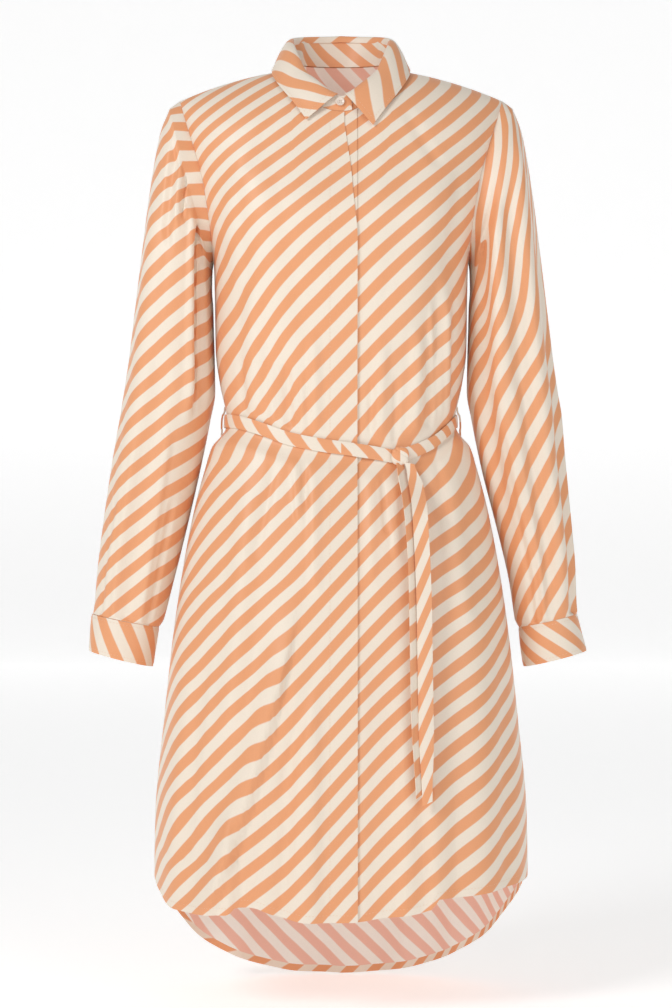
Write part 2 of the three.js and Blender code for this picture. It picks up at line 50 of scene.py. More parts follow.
# Sizes are in mm until a mesh is made: +X to the wearer's left, -Y to the front, +Z up.
NECK_HALF = 62.0
NECK_POINT_Z = 3.6
NECK_PIT_Z = -53.0
BACK_NECK_Z = 14.7
BACK_NECK_LIFT = 30.0
SHOULDER_HALF = 185.0
SHOULDER_TOP = 8.0
SHOULDER_FALL = 0.00115
SHOULDER_ROLL = 70.0
UNDERARM_Z = -218.0
SIDE_HEM_Z = -918.0
BELT_Z = -402.5
BELT_TALL = 15.0
BELT_OFF = 2.6
BELT_EDGE_IN = 0.6
BELT_RIPPLE = 0.5
SECTION_POWER = 2.4
UNDER_EDGE = -13.0
FLY_EDGE = 18.0
PLACKET_MIDDLE = 3.0
PLACKET_STITCH = -12.4
PLACKET_STIFF, PLACKET_FADE = 17, 16  # no folds this near its middle, and full folds further on
FLY_BEHIND = 1.4
SEAM_OFF = 0.15
SEAM_GAP = 0.3
SHOULDER_Z = SHOULDER_TOP - SHOULDER_FALL * SHOULDER_HALF**2
MM = 0.001
FLY_THICK, BELT_THICK, TAIL_THICK, LOOP_THICK = 0.7, 1.2, 0.9, 1.8
TURNED_HEM = 3  # rows of a panel that are turned up inside
DOUBLED = 10000  # more rows than any piece has: its inside is all right side
STITCH_OVER_HEM = 8.0


def table(names, rows):
    """The columns of a short table, by name."""
    return dict(zip(names.split(), np.array(rows, float).T))


def curve(rows, by, of):
    """A smooth function through a table's rows that never overshoots them."""
    order = np.argsort(rows[by])
    x, y = rows[by][order], rows[of][order]
    slope = np.diff(y) / np.diff(x)
    lean = np.empty_like(y)
    lean[0], lean[-1] = slope[0], slope[-1]
    a, b = slope[:-1], slope[1:]
    lean[1:-1] = np.where(a * b > 0, 2 * a * b / np.where(a * b > 0, a + b, 1), 0)

    def at(value):
        value = np.clip(value, x[0], x[-1])
        i = np.clip(np.searchsorted(x, value, "right") - 1, 0, len(x) - 2)
        h = x[i + 1] - x[i]
        t = (value - x[i]) / h
        near = y[i] * (1 + 2 * t) * (1 - t) ** 2 + lean[i] * h * t * (1 - t) ** 2
        return near + y[i + 1] * t * t * (3 - 2 * t) + lean[i + 1] * h * t * t * (t - 1)

    return at


def mix(a, b, t):
    return a + (b - a) * t


def ease(t):
    """A smooth step from 0 to 1."""
    t = np.clip(t, 0, 1)
    return t * t * (3 - 2 * t)


def sin_of(degrees):
    return np.sin(np.radians(degrees))


def cos_of(degrees):
    return np.cos(np.radians(degrees))


def unit(vectors):
    return vectors / (np.linalg.norm(vectors, axis=-1, keepdims=True) + 1e-12)


def running_sum(steps, axis=0):
    """Sums of the steps so far, from 0 on."""
    start = np.zeros_like(np.take(steps, [0], axis))
    return np.concatenate((start, np.cumsum(steps, axis)), axis)


def run_along(line):
    """Distances along a line of points."""
    return running_sum(np.linalg.norm(np.diff(line, axis=0), axis=-1))


BODY = table("z half front back", (
    (20, 188, 56, 66), (0, 188, 58, 66), (-32, 188, 67, 75), (-80, 177, 84, 88),
    (-120, 167, 98, 94), (-170, 156, 111, 97), (-218, 146, 112, 97), (-260, 144.8, 108, 94),
    (-320, 143.8, 99, 89), (-363, 138.4, 93, 85), (-386, 133.3, 90.5, 82.5),
    (-395, 131.6, 90, 82), (-411, 132.4, 90.5, 82.5), (-420, 138, 93, 88), (-432, 148, 98, 95),
    (-455, 155.5, 103, 104), (-501, 168, 112, 117), (-560, 180, 120, 124),
    (-640, 192, 129, 131), (-740, 203, 138, 137), (-850, 213, 145, 142), (-918, 214, 149, 145),
    (-1060, 214, 152, 148),
))
half_width = curve(BODY, "z", "half")
stand_off = {-1: curve(BODY, "z", "front"), 1: curve(BODY, "z", "back")}
ARMHOLE = table("z x", (
    (SHOULDER_Z, SHOULDER_HALF), (-59, 177), (-97, 165), (-128, 157), (-180, 149),
    (-205, 146.6), (UNDERARM_Z, 146),
))
armhole = curve(ARMHOLE, "z", "x")
BELT_DIP = table("x dip", (
    (-131, 3), (-118, 1), (-95, -5.5), (-57, -19), (-23, -26), (9, -30.5), (38, -35),
    (60, -38.5), (80, -33), (102, -23), (120, -8), (131, 3),
))
front_dip = curve(BELT_DIP, "x", "dip")
FRONT_HEM = table("x z", (
    (-214, -918), (-207, -929), (-187, -946), (-156, -949), (-124, -948), (-117, -940),
    (-101, -938.6), (-73, -947), (-34, -954), (9, -954), (44, -950), (84, -945), (99, -940),
    (105, -929.5), (129, -928.5), (163, -925.6), (190, -922), (206, -920), (214, -918),
))
BACK_HEM = table("x z", (
    (0, -1058.5), (44, -1056.5), (80, -1051), (120, -1038), (150, -1020), (175, -998),
    (197, -966), (209, -941), (214, -918),
))
front_hem = curve(FRONT_HEM, "x", "z")
back_hem = curve(BACK_HEM, "x", "z")
PLACKET_EDGE = table("z x", (
    (-45, 3.6), (-68, 6.5), (-103, 11), (-137, 13.6), (-164, 16.2), (-190, 18.2), (-300, 18.2),
    (-960, 18.2),
))
placket_edge = curve(PLACKET_EDGE, "z", "x")

# Folds, each from its upper end to its lower one: reach to the left and right of the crest, and
# rise.
FOLD_COLUMNS = "top_x top_z mid_x low_x low_z left right rise"
FRONT_FOLDS = table(FOLD_COLUMNS, (
    (-46, -585, -78, -158, -985, 36, 7, 8),
    (-24, -640, -56, -138, -985, 12, 14, -2.5),
    (-119, -820, -119, -123, -1010, 30, 5, 5),
    (-178, -560, -188, -186, -1010, 24, 22, 5),
    (-150, -640, -166, -176, -900, 13, 13, -2.5),
    (-34, -670, -32, -36, -1010, 26, 24, 5),
    (-58, -760, -62, -72, -1010, 14, 14, -2.5),
    (46, -600, 50, 44, -1010, 30, 26, -4),
    (72, -700, 74, 72, -1010, 14, 16, 2.2),
    (99, -760, 99, 103, -1010, 7, 30, 5),
    (148, -520, 156, 158, -1010, 34, 28, 5),
    (182, -600, 190, 188, -940, 14, 14, -2.5),
    (-100, -445, -112, -124, -760, 22, 20, 4),
    (-74, -440, -84, -100, -560, 8, 9, -2.2),
    (-52, -440, -50, -46, -520, 7, 8, 2.0),
    (-28, -447, -30, -26, -600, 12, 13, 3),
    (-40, -444, -42, -40, -500, 6, 6, -1.6),
    (30, -452, 32, 32, -590, 12, 12, 2.4),
    (46, -456, 48, 50, -530, 6, 6, -1.6),
    (60, -462, 62, 60, -560, 8, 8, 2.0),
    (118, -430, 128, 136, -640, 20, 20, 4),
    (106, -432, 112, 118, -520, 7, 7, -2),
    (-62, -330, -61, -58, -412, 9, 9, -4),
    (-96, -235, -101, -92, -398, 18, 16, 4),
    (-78, -340, -78, -75, -404, 7, 7, 2),
    (-112, -330, -112, -108, -398, 7, 7, -2),
    (-44, -350, -44, -42, -414, 6, 7, 2),
    (-30, -300, -28, -26, -418, 12, 12, 3),
    (34, -350, 34, 33, -424, 6, 7, -2),
    (46, -300, 44, 44, -424, 12, 12, 2.6),
    (62, -345, 62, 60, -432, 6, 6, -2),
    (84, -290, 88, 80, -424, 12, 12, 4),
    (100, -320, 101, 97, -412, 7, 7, -2.6),
    (116, -225, 119, 112, -408, 12, 12, 4),
    (128, -250, 129, 124, -398, 6, 6, -2.2),
    (100, -262, 101, 103, -410, 5, 5, 2.4),
    (117, -256, 118, 119, -410, 5, 6, 3),
    (131, -270, 129, 122, -400, 5, 5, 2.2),
    (-110, -70, -96, -60, -330, 34, 34, 3),
    (112, -80, 98, 62, -330, 34, 34, 3),
    (-128, -120, -124, -112, -260, 14, 14, 2),
    (134, -110, 130, 118, -240, 12, 12, -2),
    (-70, -40, -84, -108, -120, 12, 12, -1.6),
    (72, -44, 86, 112, -118, 12, 12, -1.6),
))
BACK_FOLDS = table(FOLD_COLUMNS, (
    (-128, -425, -146, -158, -1100, 34, 30, 7),
    (-78, -425, -88, -92, -1100, 30, 32, 9),
    (-22, -425, -24, -20, -1100, 34, 30, 6),
    (36, -425, 42, 46, -1100, 30, 34, 8),
    (88, -425, 98, 106, -1100, 32, 30, 7),
    (128, -425, 150, 164, -1100, 28, 30, 7),
    (-104, -424, -112, -118, -700, 9, 10, -3),
    (-52, -424, -56, -56, -640, 8, 9, -3),
    (2, -424, 4, 6, -760, 9, 9, -3.5),
    (18, -424, 20, 20, -560, 7, 7, 2),
    (62, -424, 68, 70, -680, 9, 8, -3),
    (112, -424, 120, 130, -620, 8, 8, -3),
    (-92, -250, -88, -84, -389, 20, 18, 5),
    (-66, -330, -66, -62, -389, 7, 7, -2.4),
    (-40, -280, -38, -36, -389, 18, 20, 4),
    (-12, -335, -12, -10, -389, 7, 6, -2.2),
    (16, -270, 14, 14, -389, 20, 18, 4),
    (42, -330, 42, 40, -389, 6, 7, -2.2),
    (66, -240, 64, 62, -389, 18, 18, 5),
    (90, -330, 88, 86, -389, 7, 7, -2),
    (108, -290, 104, 100, -389, 16, 16, 4),
    (-120, -60, -108, -100, -260, 26, 26, 3),
    (120, -60, 108, 100, -260, 26, 26, 3),
))
FOLD_DEPTH = 1.25


def fold_crest(ends, z):
    """Where a fold's crest lies at each height, from its top, middle and low points."""
    top_x, top_z, mid_x, low_x, low_z = ends
    q = np.clip((top_z - z) / (top_z - low_z), 0, 1)
    return (1 - q) ** 2 * top_x + 2 * q * (1 - q) * mid_x + q * q * low_x


def fold_rise(folds, x, z):
    """How far the folds lift the cloth at each place."""
    rise = np.zeros(np.broadcast(x, z).shape)
    for *ends, left, right, lift in zip(*(folds[k] for k in FOLD_COLUMNS.split())):
        crest = fold_crest(ends, z)
        q = np.clip((ends[1] - z) / (ends[1] - ends[4]), 0, 1)
        off = np.clip((x - crest) / np.where(x < crest, left, right), -1, 1)
        rise += lift * (1 - off * off) ** 2 * ease(q / 0.25) * ease((1 - q) / 0.12)
    return rise * FOLD_DEPTH


def side_edge(z):
    """How far a panel reaches: to the armhole, and below it to the side seam."""
    return np.where(z > UNDERARM_Z, armhole(z), half_width(z))


# The belt moves the cloth between these heights, more and more over these lengths.
DIP_LOW, DIP_LOW_FADE, DIP_HIGH, DIP_HIGH_FADE = -575, 150, -290, 95
BACK_DIP = 3.0


def belt_dip(side, x, z):
    """How far the belt moves the cloth up or down."""
    share = np.minimum(ease((z - DIP_LOW) / DIP_LOW_FADE), ease((DIP_HIGH - z) / DIP_HIGH_FADE))
    return share * (front_dip(x) if side < 0 else BACK_DIP)


def shoulder_line(side, x):
    lift = BACK_NECK_LIFT * np.clip(1 - (x / NECK_HALF) ** 2, 0, 1) ** 2 if side > 0 else 0
    return SHOULDER_TOP - SHOULDER_FALL * x * x + lift


def cloth_depth(side, x, z):
    """How far the plain cloth stands in front of (side -1) or behind (1) the side seams."""
    drop = np.clip((shoulder_line(side, x) - z) / SHOULDER_ROLL, 0, 1)
    part = np.minimum(np.abs(x) / half_width(z), 1)
    around = (1 - part**SECTION_POWER) ** (1 / SECTION_POWER)
    return stand_off[side](z) * np.sqrt(1 - (1 - drop) ** 2) * around


def body_points(side, x, z, section, out=0.0):
    """Points of the body's cloth at heights z, which follow the sections at other heights."""
    y = side * np.maximum(cloth_depth(side, x, section), SEAM_OFF)
    a, d = half_width(section), stand_off[side](section)
    away = unit(np.stack((x / a**2, y / d**2, np.zeros_like(y)), -1))
    past = np.abs(x - PLACKET_MIDDLE) - PLACKET_STIFF
    stiff = ease(past / PLACKET_FADE) if side < 0 else 1.0
    free = stiff * (1 - np.minimum(np.abs(x) / a, 1) ** 8)
    rise = fold_rise(FRONT_FOLDS if side < 0 else BACK_FOLDS, x, z) * free
    return np.stack((x, y, z), -1) + away * (out + rise)[..., None]


def section_of(side, x, z):
    """The height that the cloth at a height had before the belt moved it."""
    section = z + 0.0
    for _ in range(25):
        section = z - belt_dip(side, x, section)
    return section


def on_body(side, x, z, out=0.0):
    """Points of the body's cloth, some mm outside it."""
    x, z = np.broadcast_arrays(np.asarray(x, float), np.asarray(z, float))
    return body_points(side, x, z, section_of(side, x, z), out + np.zeros(x.shape))


def upper_edge(side, x):
    """The height of a panel's upper edge, along shoulder and neck."""
    share = np.sqrt(np.clip(1 - (x / NECK_HALF) ** 2, 0, 1))
    low, power = (NECK_PIT_Z, 1.5) if side < 0 else (BACK_NECK_Z, 1.0)
    return np.where(
        np.abs(x) >= NECK_HALF, shoulder_line(side, x), mix(NECK_POINT_Z, low, share**power)
    )


def row_heights():
    """Heights of a panel's rows at its side edge."""
    tall = (SHOULDER_Z - UNDERARM_Z) / 2
    upper = SHOULDER_Z - tall * (1 - cos_of(np.linspace(0, 180, 61)))
    levels = (UNDERARM_Z, -366, -440, -560, -910, SIDE_HEM_Z)
    spans = zip(levels, levels[1:], (30, 26, 26, 72, 3))
    return np.concatenate([upper] + [np.linspace(a, b, n + 1)[1:] for a, b, n in spans])


def panel_points(side, x, side_z, out):
    """A panel's grid of points: x of each point, and the height of its row at the side."""
    side_z = np.broadcast_to(side_z[:, None], x.shape)
    first = x * SHOULDER_HALF / side_edge(side_z)
    upper = (upper_edge(side, first) - SHOULDER_Z) * (1 - ease((SHOULDER_Z - side_z) / 250))
    hem_x = x * half_width(SIDE_HEM_Z) / half_width(side_z)
    hem = front_hem(hem_x) if side < 0 else back_hem(np.abs(hem_x))
    lower = (hem - SIDE_HEM_Z) * ease((-560 - side_z) / 358)
    section = side_z + upper + lower
    return body_points(side, x, section + belt_dip(side, x, section), section, out)


NECK_SHARE = NECK_HALF / SHOULDER_HALF


def side_shares(count):
    """Columns from the side to the neck point, as shares of a panel's half width."""
    return sin_of(np.linspace(90, math.degrees(math.asin(NECK_SHARE)), count + 1))


def front_grid(hand, near, edge, out):
    """A front, from its side over the neck to its edge at the placket."""
    rows = row_heights()
    reach = hand * side_edge(rows)[:, None]
    end = np.broadcast_to(edge(rows), rows.shape)[:, None]
    turn = cos_of(np.linspace(0, 75, 23)[1:-1])
    neck = (turn - turn[-1] * 0.93) / (1 - turn[-1] * 0.93)
    side = reach * side_shares(56)[None]
    middle = mix(near, NECK_SHARE * reach, neck[None])
    x = np.hstack((side, middle, mix(near, end, np.linspace(0, 1, 8)[None])))
    grid = panel_points(-1, x, rows, out(x))
    return grid if hand < 0 else grid[:, ::-1]


def back_grid():
    rows = row_heights()
    neck = sin_of(np.linspace(90, -90, 39)[1:-1]) * NECK_SHARE
    shares = np.concatenate((side_shares(48), neck, -side_shares(48)[::-1]))
    x = side_edge(rows)[:, None] * shares[None]
    return panel_points(1, x, rows, np.zeros(x.shape))


def fly_grid():
    rows = row_heights()
    x = np.broadcast_to(np.linspace(UNDER_EDGE, FLY_EDGE, 9)[None], (len(rows), 9))
    return panel_points(-1, x, rows, np.full(x.shape, -FLY_BEHIND))


# Sleeve rings: the outer and inner silhouettes on each hand, and half the depth.
LIMB_COLUMNS = "out_right out_left out_z in_right in_left in_z deep"
SLEEVE = table(LIMB_COLUMNS, (
    (197, 197, -40, 147.6, 147.6, -226, 46),
    (207, 207, -66, 148, 148, -236, 52),
    (214, 214, -100, 148.2, 148.2, -250, 56),
    (221, 221, -145, 146.8, 146.8, -270, 59),
    (228, 228, -200, 146.2, 146.2, -295, 60),
    (236, 236, -265, 145.3, 145.3, -325, 59),
    (244, 244, -330, 144.6, 144.6, -365, 56),
    (252.5, 251.5, -385, 150, 150, -398, 53),
    (262, 256, -440, 161, 161, -452, 50),
    (272.5, 263, -510, 178, 180, -526, 45),
    (279.5, 268, -565, 192, 193, -582, 41),
    (283.5, 270, -611, 204.5, 200.5, -629, 38.5),
    (285, 271.2, -620.2, 208.8, 204.2, -635.2, 36.2),
))
CUFF = table(LIMB_COLUMNS, (
    (286.5, 271.5, -620.6, 209.1, 204.1, -635.6, 36.6),
    (288.5, 276.5, -641, 212.5, 206.2, -658, 36.9),
    (290, 282.6, -662.5, 216, 209.6, -681, 37),
))

CUFF_PAD, CUFF_EDGE_IN = 0.5, 0.3

# Folds down a sleeve, in degrees round it (0 outside, 90 in front, 180 beside the body).
SLEEVE_COLUMNS = "top_at low_at start end reach rise"
SLEEVE_FOLDS = {
    -1: table(SLEEVE_COLUMNS, (
        (126, 139, 0.03, 0.6, 16, -7),
        (118, 132, 0, 0.6, 6, -9),
        (107, 121, 0, 0.62, 10, 6),
        (84, 92, 0, 0.16, 5, -4),
        (60, 72, 0.02, 0.3, 12, -4),
        (76, 84, 0.01, 0.22, 8, 3),
        (40, 58, 0.2, 0.95, 24, 4),
        (78, 92, 0.45, 1, 18, -4),
        (100, 118, 0.6, 1, 9, 2.5),
        (62, 70, 0.62, 1, 8, 2),
        (46, 40, 0.7, 1, 7, -2),
        (125, 132, 0.7, 1, 8, -2.2),
        (215, 225, 0.1, 0.9, 24, -5),
        (280, 270, 0.05, 0.95, 26, 4),
        (318, 310, 0.15, 0.9, 22, -4),
        (245, 250, 0.4, 1, 12, 2.5),
    )),
    1: table(SLEEVE_COLUMNS, (
        (126, 136, 0.03, 0.8, 20, -7),
        (100, 108, 0.05, 0.85, 18, 5),
        (74, 84, 0.1, 0.95, 17, -6),
        (46, 58, 0.05, 0.98, 20, 5),
        (62, 70, 0.3, 0.8, 8, -2.5),
        (88, 98, 0.5, 1, 8, 2.5),
        (24, 34, 0.3, 1, 16, -4),
        (10, 20, 0.55, 1, 8, 2),
        (112, 120, 0.6, 1, 8, -2.4),
        (222, 230, 0.1, 0.9, 24, -5),
        (284, 275, 0.05, 0.95, 26, 4),
        (322, 312, 0.15, 0.9, 22, -4),
        (250, 256, 0.4, 1, 12, 2.5),
    )),
}


def sleeve_rise(folds, degrees, down):
    """How far a sleeve's folds raise its cloth."""
    rise = np.zeros(np.broadcast(degrees, down).shape)
    for top, low, start, end, reach, lift in zip(*(folds[k] for k in SLEEVE_COLUMNS.split())):
        q = np.clip((down - start) / (end - start), 0, 1)
        fade = ease((1 - q) / 0.2) if end < 1 else ease((1.001 - q) / 0.08)
        off = np.clip((degrees - mix(top, low, q)) / reach, -1, 1)
        rise += lift * (1 - off * off) ** 2 * ease(q / 0.12) * fade
    return rise


SLEEVE_TURNS = 120
# Degrees round a sleeve, from its seam beside the body.
ROUND_SLEEVE = (np.arange(SLEEVE_TURNS) * 360.0 / SLEEVE_TURNS + 180) % 360
SLEEVE_FRONT = {-1: 0.75, 1: 0.25}  # share of the way round at which the front lies


def limb_sizes(rows, hand, at):
    """A limb's silhouettes and half depth at fractional row numbers."""
    side = "left" if hand > 0 else "right"
    rows = dict(rows, at=np.arange(float(len(rows["deep"]))))
    keys = (f"out_{side}", "out_z", f"in_{side}", "in_z", "deep")
    return [curve(rows, "at", key)(at)[:, None] for key in keys]


def limb_points(hand, out_x, out_z, in_x, in_z, deep, degrees, rise):
    """Rings between a limb's outer and inner silhouettes, raised by some mm."""
    c, s = cos_of(degrees), sin_of(degrees)
    half = (out_x - in_x) / 2
    grow = 1 + rise / np.hypot(half * c, deep * s)
    x = (out_x + in_x) / 2 + half * c * grow
    z = (out_z + in_z) / 2 + (out_z - in_z) / 2 * c * grow
    return np.stack((hand * x, -deep * s * grow, z + 0 * x), -1)


def armhole_ring(hand, degrees):
    """A sleeve's seam, which runs down one panel's armhole and up the other's."""
    z = mix(SHOULDER_Z, UNDERARM_Z, (1 - cos_of(degrees)) / 2)
    x = armhole(z)
    front = body_points(-1, x, z, z, np.zeros(x.shape))
    back = body_points(1, x, z, z, np.zeros(x.shape))
    ring = np.where((degrees <= 180)[:, None], front, back)
    ring[:, 1] *= np.abs(sin_of(degrees)) ** 0.02
    ring[:, 0] = hand * (ring[:, 0] + SEAM_GAP)
    return ring


def as_seen(hand, rings):
    """Rings with columns to the right as seen from outside."""
    return rings[:, ::-1] if hand > 0 else rings


def sleeve_grid(hand):
    last = len(SLEEVE["deep"]) - 1
    at = np.linspace(0, last, 150)
    degrees = ROUND_SLEEVE
    sizes = limb_sizes(SLEEVE, hand, at)
    rise = sleeve_rise(SLEEVE_FOLDS[hand], degrees[None], at[:, None] / last)
    rings = limb_points(hand, *sizes, degrees[None], rise)
    return as_seen(hand, np.concatenate((armhole_ring(hand, degrees)[None], rings)))


def cuff_grid(hand):
    at = np.linspace(0, 2, 20)
    degrees = ROUND_SLEEVE
    sizes = limb_sizes(CUFF, hand, at)
    full = np.minimum(ease(at / 0.2), ease((2 - at) / 0.2))[:, None]
    rise = CUFF_PAD * full - CUFF_EDGE_IN + 0 * degrees[None]
    return as_seen(hand, limb_points(hand, *sizes, degrees[None], rise))


STAND_TOP = table("at z", (
    (0, -35.5), (6, -34), (28, -18.5), (45, -5.5), (60, 14), (75, 29), (90, 37), (120, 44),
    (150, 48), (180, 50),
))
FALL_EDGE = table("at left_x left_z right_x right_z", (
    (4, 35.8, -69.2, 39.2, -62.8), (15, 42, -60, 45, -54), (30, 52, -46, 54, -41),
    (45, 63, -31, 64, -28), (60, 72, -17, 73, -15), (75, 77.5, -5, 78, -4),
    (90, 79, 4.5, 79, 4.5), (110, 74, 4, 74, 4), (135, 56, 2.5, 56, 2.5),
    (160, 27, 4.5, 27, 4.5), (180, 0, 7, 0, 7),
))
# The collar's fall, from its roll to its outer edge: share of the way, and how far it bulges out.
FALL = table("step along bulge", (
    (0, 0, 0), (1, 0.03, 2.6), (2, 0.12, 4.2), (3, 0.3, 4.6), (4, 0.55, 3.6), (5, 0.8, 1.8),
    (6, 1, 0.8),
))
STAND_HALF, STAND_FRONT, STAND_BACK, FALL_HALF = 57.0, 69.0, 52.0, 79.0
stand_top = curve(STAND_TOP, "at", "z")


def neck_plan(degrees, half, front, back):
    """x and y of an oval round the neck, with 0 degrees in front."""
    c = cos_of(degrees)
    return half * sin_of(degrees), -c * np.where(c > 0, front, back)


def turn_of(degrees):
    """Degrees from the front, to either side."""
    return np.abs((degrees + 540) % 360 - 180)


def stand_grid():
    """The collar's stand, from the neck seam up, with its right end on top in front."""
    degrees = np.linspace(-11, 371.5, 200)[None]
    up = np.linspace(1, 0, 16)[:, None]
    x = NECK_HALF * sin_of(degrees)
    front = cos_of(degrees) > 0
    z = np.where(front, upper_edge(-1, x), upper_edge(1, x))
    y = np.where(front, -cloth_depth(-1, x, z), cloth_depth(1, x, z))
    top_x, top_y = neck_plan(degrees, STAND_HALF, STAND_FRONT, STAND_BACK)
    # The end on top is rounded at its upper corner.
    past = np.clip((degrees - 366) / 5.5, 0, 1)
    up = up * (1 - 0.38 * (1 - np.sqrt(1 - past**2)))
    under = 2.0 * (1 - ease((degrees - 20) / 60))
    px = mix(x, top_x, up) - under * sin_of(degrees)
    py = mix(y, top_y, up) + under * cos_of(degrees)
    return np.stack((px, py, mix(z + 0.4, stand_top(turn_of(degrees)), up)), -1)


def fall_edge(degrees):
    """The fall's outer edge, with its two leaves in front."""
    turn = turn_of(degrees)
    hand = np.where(degrees < 180, 1.0, -1.0)
    sides = [curve(FALL_EDGE, "at", k)(turn) for k in ("left_x", "right_x", "left_z", "right_z")]
    front_x = np.where(hand > 0, sides[0], sides[1])
    x = np.where(turn > 90, FALL_HALF * sin_of(turn), front_x)
    z = np.where(hand > 0, sides[2], sides[3])
    depth = np.where(turn > 90, cloth_depth(1, x, z - 3.2), -cloth_depth(-1, x, z - 3.2))
    return np.stack((hand * x, depth - 2.4 * cos_of(turn), z), -1)


# The fall's strip inside the neck, from its seam up to the roll: away from the stand's line, and up.
ROLL_STRIP = table(
    "away up",
    ((-3.5, -5.5), (-3.4, -3.6), (-3.2, -1.8), (-2.8, -0.2), (-2.1, 1.1), (-1.1, 2.0)),
)
ROLL_OVER_STAND = 2.4


def fall_grid():
    parts = ((4, 15, 12), (17, 343, 160), (345, 356, 12))
    degrees = np.concatenate([np.linspace(*part) for part in parts])
    step = np.linspace(0, 6, 30)
    along, bulge = (curve(FALL, "step", k)(step)[:, None, None] for k in ("along", "bulge"))
    x, y = neck_plan(degrees, STAND_HALF, STAND_FRONT, STAND_BACK)
    roll = np.stack((x, y, stand_top(turn_of(degrees)) + ROLL_OVER_STAND), -1)[None]
    turn = np.radians(degrees)
    away = np.stack((np.sin(turn), -np.cos(turn), 0 * degrees), -1)[None]
    up = np.array((0.0, 0.0, 1.0))
    rise = (ROLL_STRIP["up"] - ROLL_OVER_STAND)[:, None, None]
    strip = roll + away * ROLL_STRIP["away"][:, None, None] + up * rise
    return np.concatenate((strip, mix(roll, fall_edge(degrees)[None], along) + away * bulge))


def belt_grid():
    """The belt round the waist, as one ring."""
    degrees = np.arange(0, 360, 1.5)[None]
    up = BELT_TALL / 2 * np.linspace(1, -1, 9)[:, None]
    section = BELT_Z + up + 0 * degrees
    reach = half_width(section)
    x = reach * sin_of(degrees)
    points = np.empty(x.shape + (3,))
    front = np.broadcast_to(cos_of(degrees) > 0, x.shape)
    for side, here in ((-1, front), (1, ~front)):
        y = side * cloth_depth(side, x, section)
        away = unit(np.stack((x / reach**2, y / stand_off[side](section) ** 2, 0 * x), -1))
        ripple = BELT_RIPPLE * sin_of(degrees * 7 + 40) ** 3
        lift = BELT_OFF - BELT_EDGE_IN * (2 * up / BELT_TALL) ** 4 + ripple
        made = np.stack((x, y, section + belt_dip(side, x, section)), -1) + away * lift[..., None]
        points[here] = made[here]
    return points


KNOT_PLACE = (66.0, -441.0)
KNOT_HALF = (10.5, 5.0, 11.0)
KNOT_SQUARE = 2.8
# Depth, direction, place and width of the knot's creases, in shares of its half size.
KNOT_CREASES = ((1.0, 0.55, 0.83, -0.34, 0.11), (0.8, 0.72, 0.69, 0.38, 0.1))
TAIL_WIDE = 17.0
TAIL_TAPER = 0.34
TAIL_SLANT = 2.5
TAIL_CURL, TAIL_CUP = 1.3, 0.9
TAIL_LONG = table("z x", (
    (-449, 76), (-467, 82), (-495, 86.5), (-520, 88), (-560, 90), (-605, 91.5), (-720, 93),
    (-823, 94.5),
))
TAIL_SHORT = table(
    "z x", ((-449, 66), (-495, 75), (-560, 80), (-605, 81), (-720, 83), (-815, 86.5))
)
# Each tail: mm off the cloth, off the cloth at the knot, phase of its curl, turn about its length,
# stripe spacing down and across, and its length in metres.
TAILS = {
    "long": (TAIL_LONG, 8.6, 12.0, 0.4, -0.07, 39, 18, 0.39),
    "short": (TAIL_SHORT, 6.8, 10.5, 2.1, 0.8, 37, 60, 0.37),
}


def reach_of_front(x, z):
    """How far forward the front's cloth reaches round each place."""
    most = np.zeros(z.shape)
    for dx in (-13, -6, 0, 6, 13):
        for dz in (-30, -15, 0, 15, 30):
            here = -on_body(-1, x + dx, np.minimum(z + dz, -448.0))[..., 1]
            most = np.maximum(most, here)
    return most


def tail_grid(rows, off, from_y, phase, turn):
    """A hanging tail of the belt, turned by an angle about its length and narrower at its end."""
    path = curve(rows, "z", "x")
    z = np.linspace(rows["z"][0], rows["z"][-1], 110)
    both = (curve(tail, "z", "x")(z) for tail in (TAIL_LONG, TAIL_SHORT))
    reach = np.maximum(*(reach_of_front(x, z) for x in both))
    y = mix(from_y, reach + off, ease((z[0] - z) / 60))
    lean = (path(z + 4) - path(z - 4)) / 8
    across = unit(np.stack((np.ones_like(z), np.zeros_like(z), lean), -1))
    wide = np.linspace(-1, 1, 9)
    gather = 1 - 0.3 * ease((z - z[0] + 22) / 22) - TAIL_TAPER * ease((z[-1] + 80 - z) / 80)
    half = wide[None] * gather[:, None] * TAIL_WIDE / 2
    centre = np.stack((path(z), -y, z), -1)[:, None]
    wave = np.sin((z[0] - z)[:, None] / 62 + phase)
    curl = (TAIL_CURL * wave - TAIL_CUP) * wide[None] ** 2
    points = centre + across[:, None] * (half * np.cos(turn))[..., None]
    points[..., 1] += half * np.sin(turn) - curl
    points[..., 2] += TAIL_SLANT * wide[None] * ease((z[-1] + 30 - z) / 30)[:, None]
    return points


def knot_grid():
    """The half knot: a rounded lump of wrapped band, with creases across it."""
    lat = np.radians(np.linspace(88, -88, 40))[:, None]
    lon = np.radians(np.arange(0, 360, 6.0))[None]
    x, y, z = np.cos(lat) * np.sin(lon), -np.cos(lat) * np.cos(lon), np.sin(lat) + 0 * lon
    crease = sum(
        deep * np.exp(-(((x * a + z * b + at) / wide) ** 2)) for deep, a, b, at, wide in KNOT_CREASES
    )
    square = sum(np.abs(v) ** KNOT_SQUARE for v in (x, y, z)) ** (-1 / KNOT_SQUARE)
    size = square * (1 - 0.1 * crease)
    cloth = -on_body(-1, *KNOT_PLACE)[1]
    centre = (KNOT_PLACE[0], -(cloth + BELT_OFF + 0.6 + KNOT_HALF[1]), KNOT_PLACE[1])
    return np.stack([c + h * 0.94 * size * v for c, h, v in zip(centre, KNOT_HALF, (x, y, z))], -1)


LOOP = table(
    "z off",
    ((-383, 0.9), (-389, 3.0), (-393, 5.4), (-400, 6.2), (-407, 5.9), (-411, 4.2), (-416, 1.0)),
)


